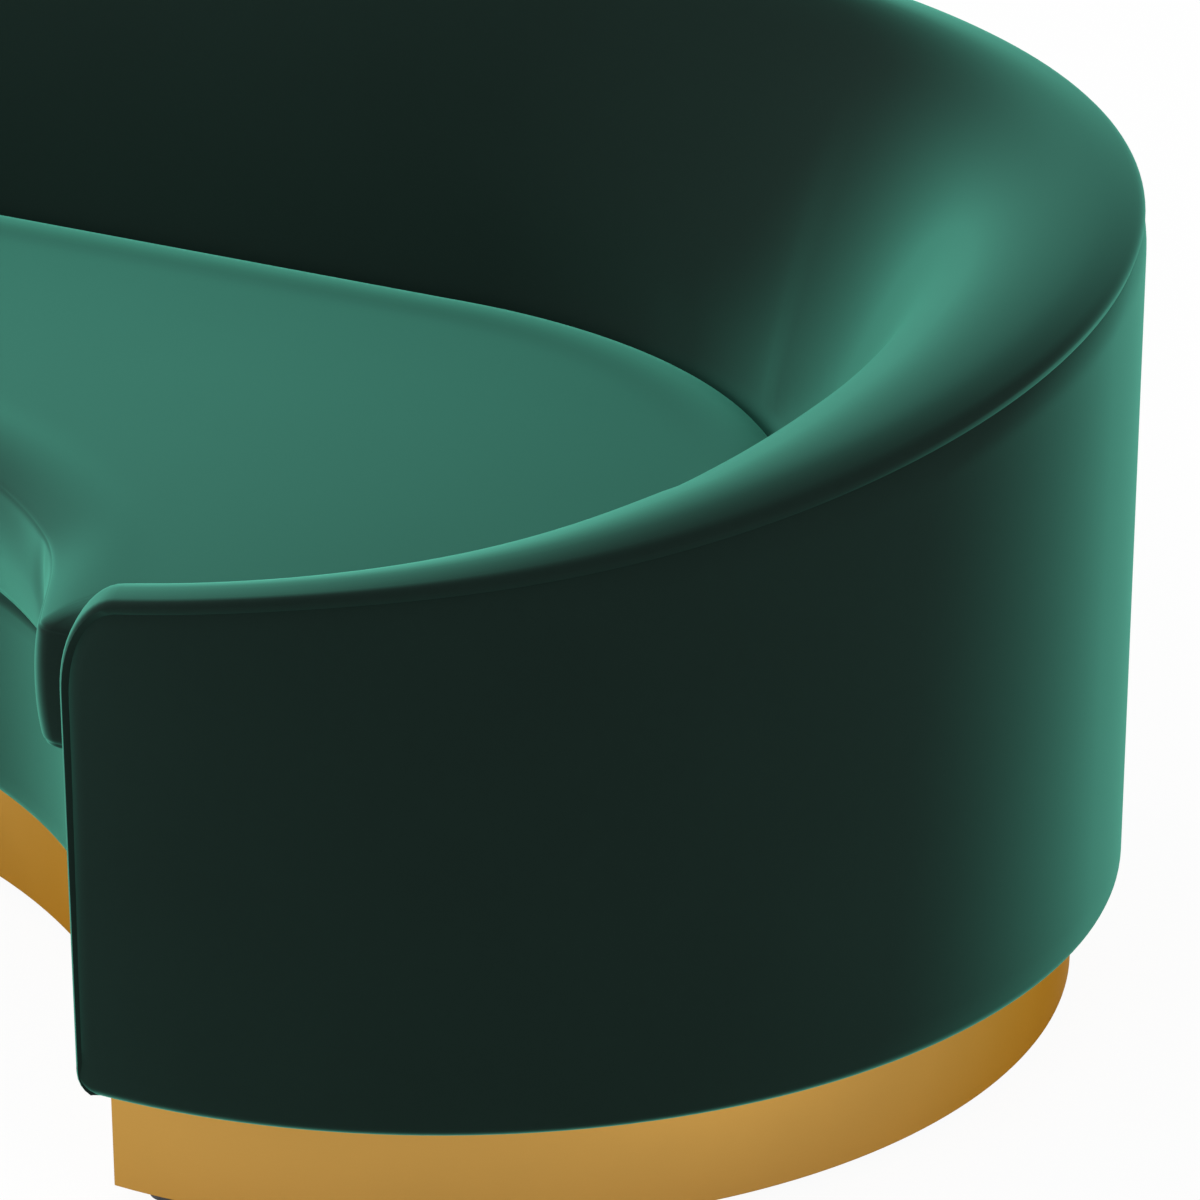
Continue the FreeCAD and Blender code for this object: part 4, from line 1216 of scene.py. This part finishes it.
class SOFA_OT_frame_finish(bpy.types.Operator):
    """Gives the frame's boards, glides and fasteners their finishes"""

    bl_idname = "sofa.frame_finish"
    bl_label = "Frame finishes"

    def execute(self, context):
        plated, moulded = ("zinc_plate", zinc), ("moulded_grey", glide_plastic)
        finishes = {"floor_glides": moulded, "glide_screws": plated, "plinth_bolts": plated}
        for name, obj in NODES.items():
            if obj.hide_render:
                continue
            obj.data.materials.clear()
            obj.data.materials.append(finish(*finishes.get(name, ("bare_plywood", plywood))))
        return {"FINISHED"}


# Studio


FLOOR_HALF, FLOOR_WHITE, FLOOR_WHITE_IN_GLOSS = 30, 0.94, 0.3
SKY_ZENITH, SKY_RISE = 0.74, 0.38
# Each lamp's name, place, aim, power in watts and width
LAMPS = (
    ("overhead", (0.2, 0.4, 4.2), (0.2, 0.0, 0.4), 15, 3.5),
    ("left", (-4.5, -0.3, 1.7), (0.3, -0.2, 0.4), 225, 2.5),
    ("right", (4.6, -1.2, 1.0), (0.9, -0.2, 0.3), 55, 2.5),
    ("front", (-4.0, -3.4, 1.4), (0.3, 0.0, 0.4), 125, 3.0),
)
CAMERA_AT, CAMERA_TILT, CAMERA_TURN = (2.801, -3.375, 1.925), math.radians(68.0), math.radians(29.9)
CAMERA_SENSOR, CAMERA_LENS = 36.0, 150.8


class SOFA_OT_stage(bpy.types.Operator):
    """Sets up the floor, the lamps, the world and the camera"""

    bl_idname = "sofa.stage"
    bl_label = "Studio"

    def floor(self, tones):
        """A pale floor that is white to the camera but for the sofa's shadow."""
        ground = bpy.data.materials.new("studio_floor")
        g = Graph(ground)
        straight, turned = g.backdrop_rays()
        seen = straight * FLOOR_WHITE + turned * FLOOR_WHITE_IN_GLOSS
        matte = g.node("ShaderNodeBsdfDiffuse", {}, {"Color": tones.floor})
        white = g.node("ShaderNodeEmission", {}, {"Color": WHITE, "Strength": 1.0})
        blend = g.node("ShaderNodeMixShader", {}, {0: seen, 1: matte, 2: white})
        g.node("ShaderNodeOutputMaterial", {}, {"Surface": blend})
        corners = [(FLOOR_HALF * x, FLOOR_HALF * y, 0) for x, y in ((-1, -1), (1, -1), (1, 1), (-1, 1))]
        new_piece("studio_floor", corners, [(0, 1, 2, 3)], ground)

    def sky(self, scene):
        """A soft sky, brighter toward the horizon, that is white to the camera and in gloss."""
        scene.world = bpy.data.worlds.new("studio")
        g = Graph(scene.world)
        straight, turned = g.backdrop_rays()
        up = g.part(g.node("ShaderNodeTexCoord", output="Generated"), "Z")
        level = g.spread(up, first=1.0, last=0.0)
        around = level * level * SKY_RISE + SKY_ZENITH
        strength = (straight + turned) * (1 - around) + around
        shader = g.node("ShaderNodeBackground", {}, {"Color": WHITE, "Strength": strength})
        g.node("ShaderNodeOutputWorld", {}, {"Surface": shader})

    def lamp(self, scene, name, spot, aim, power, wide):
        light = bpy.data.lights.new(name, "AREA")
        light.energy, light.size = power, wide
        obj = bpy.data.objects.new(name, light)
        obj.location = spot
        obj.rotation_euler = (Vector(aim) - Vector(spot)).to_track_quat("-Z", "Y").to_euler()
        scene.collection.objects.link(obj)

    def camera(self, scene):
        view = bpy.data.cameras.new("photo_view")
        view.sensor_width, view.lens = CAMERA_SENSOR, CAMERA_LENS
        scene.camera = bpy.data.objects.new("photo_view", view)
        scene.camera.location = CAMERA_AT
        scene.camera.rotation_euler = (CAMERA_TILT, 0.0, CAMERA_TURN)
        scene.collection.objects.link(scene.camera)

    def execute(self, context):
        scene = context.scene
        scene.view_settings.view_transform = "Standard"
        self.floor(scene.sofa_colours)
        self.sky(scene)
        for lamp in LAMPS:
            self.lamp(scene, *lamp)
        self.camera(scene)
        return {"FINISHED"}


# Panel and registration


class SOFA_PT_panel(bpy.types.Panel):
    """Lists the sofa's pieces in the order they are made"""

    bl_idname = "SOFA_PT_panel"
    bl_label = "Curved velvet sofa"
    bl_space_type = "VIEW_3D"
    bl_region_type = "UI"
    bl_category = "Sofa"

    def draw(self, context):
        for step in STEPS:
            self.layout.operator(step.bl_idname)


STEPS = (
    SOFA_OT_stage, SOFA_OT_glides, SOFA_OT_plinth, SOFA_OT_outer_cover, SOFA_OT_inside_cover,
    SOFA_OT_apron, SOFA_OT_deck, SOFA_OT_cushion, SOFA_OT_frame_finish,
)
CLASSES = (SofaSizes, SofaColours, *STEPS, SOFA_PT_panel)


def register():
    for made in CLASSES:
        bpy.utils.register_class(made)
    bpy.types.Scene.sofa_sizes = bpy.props.PointerProperty(type=SofaSizes)
    bpy.types.Scene.sofa_colours = bpy.props.PointerProperty(type=SofaColours)


def unregister():
    del bpy.types.Scene.sofa_colours
    del bpy.types.Scene.sofa_sizes
    for made in reversed(CLASSES):
        bpy.utils.unregister_class(made)


def main():
    register()
    for step in STEPS:
        group, action = step.bl_idname.split(".")
        getattr(getattr(bpy.ops, group), action)()


if __name__ == "__main__":
    main()
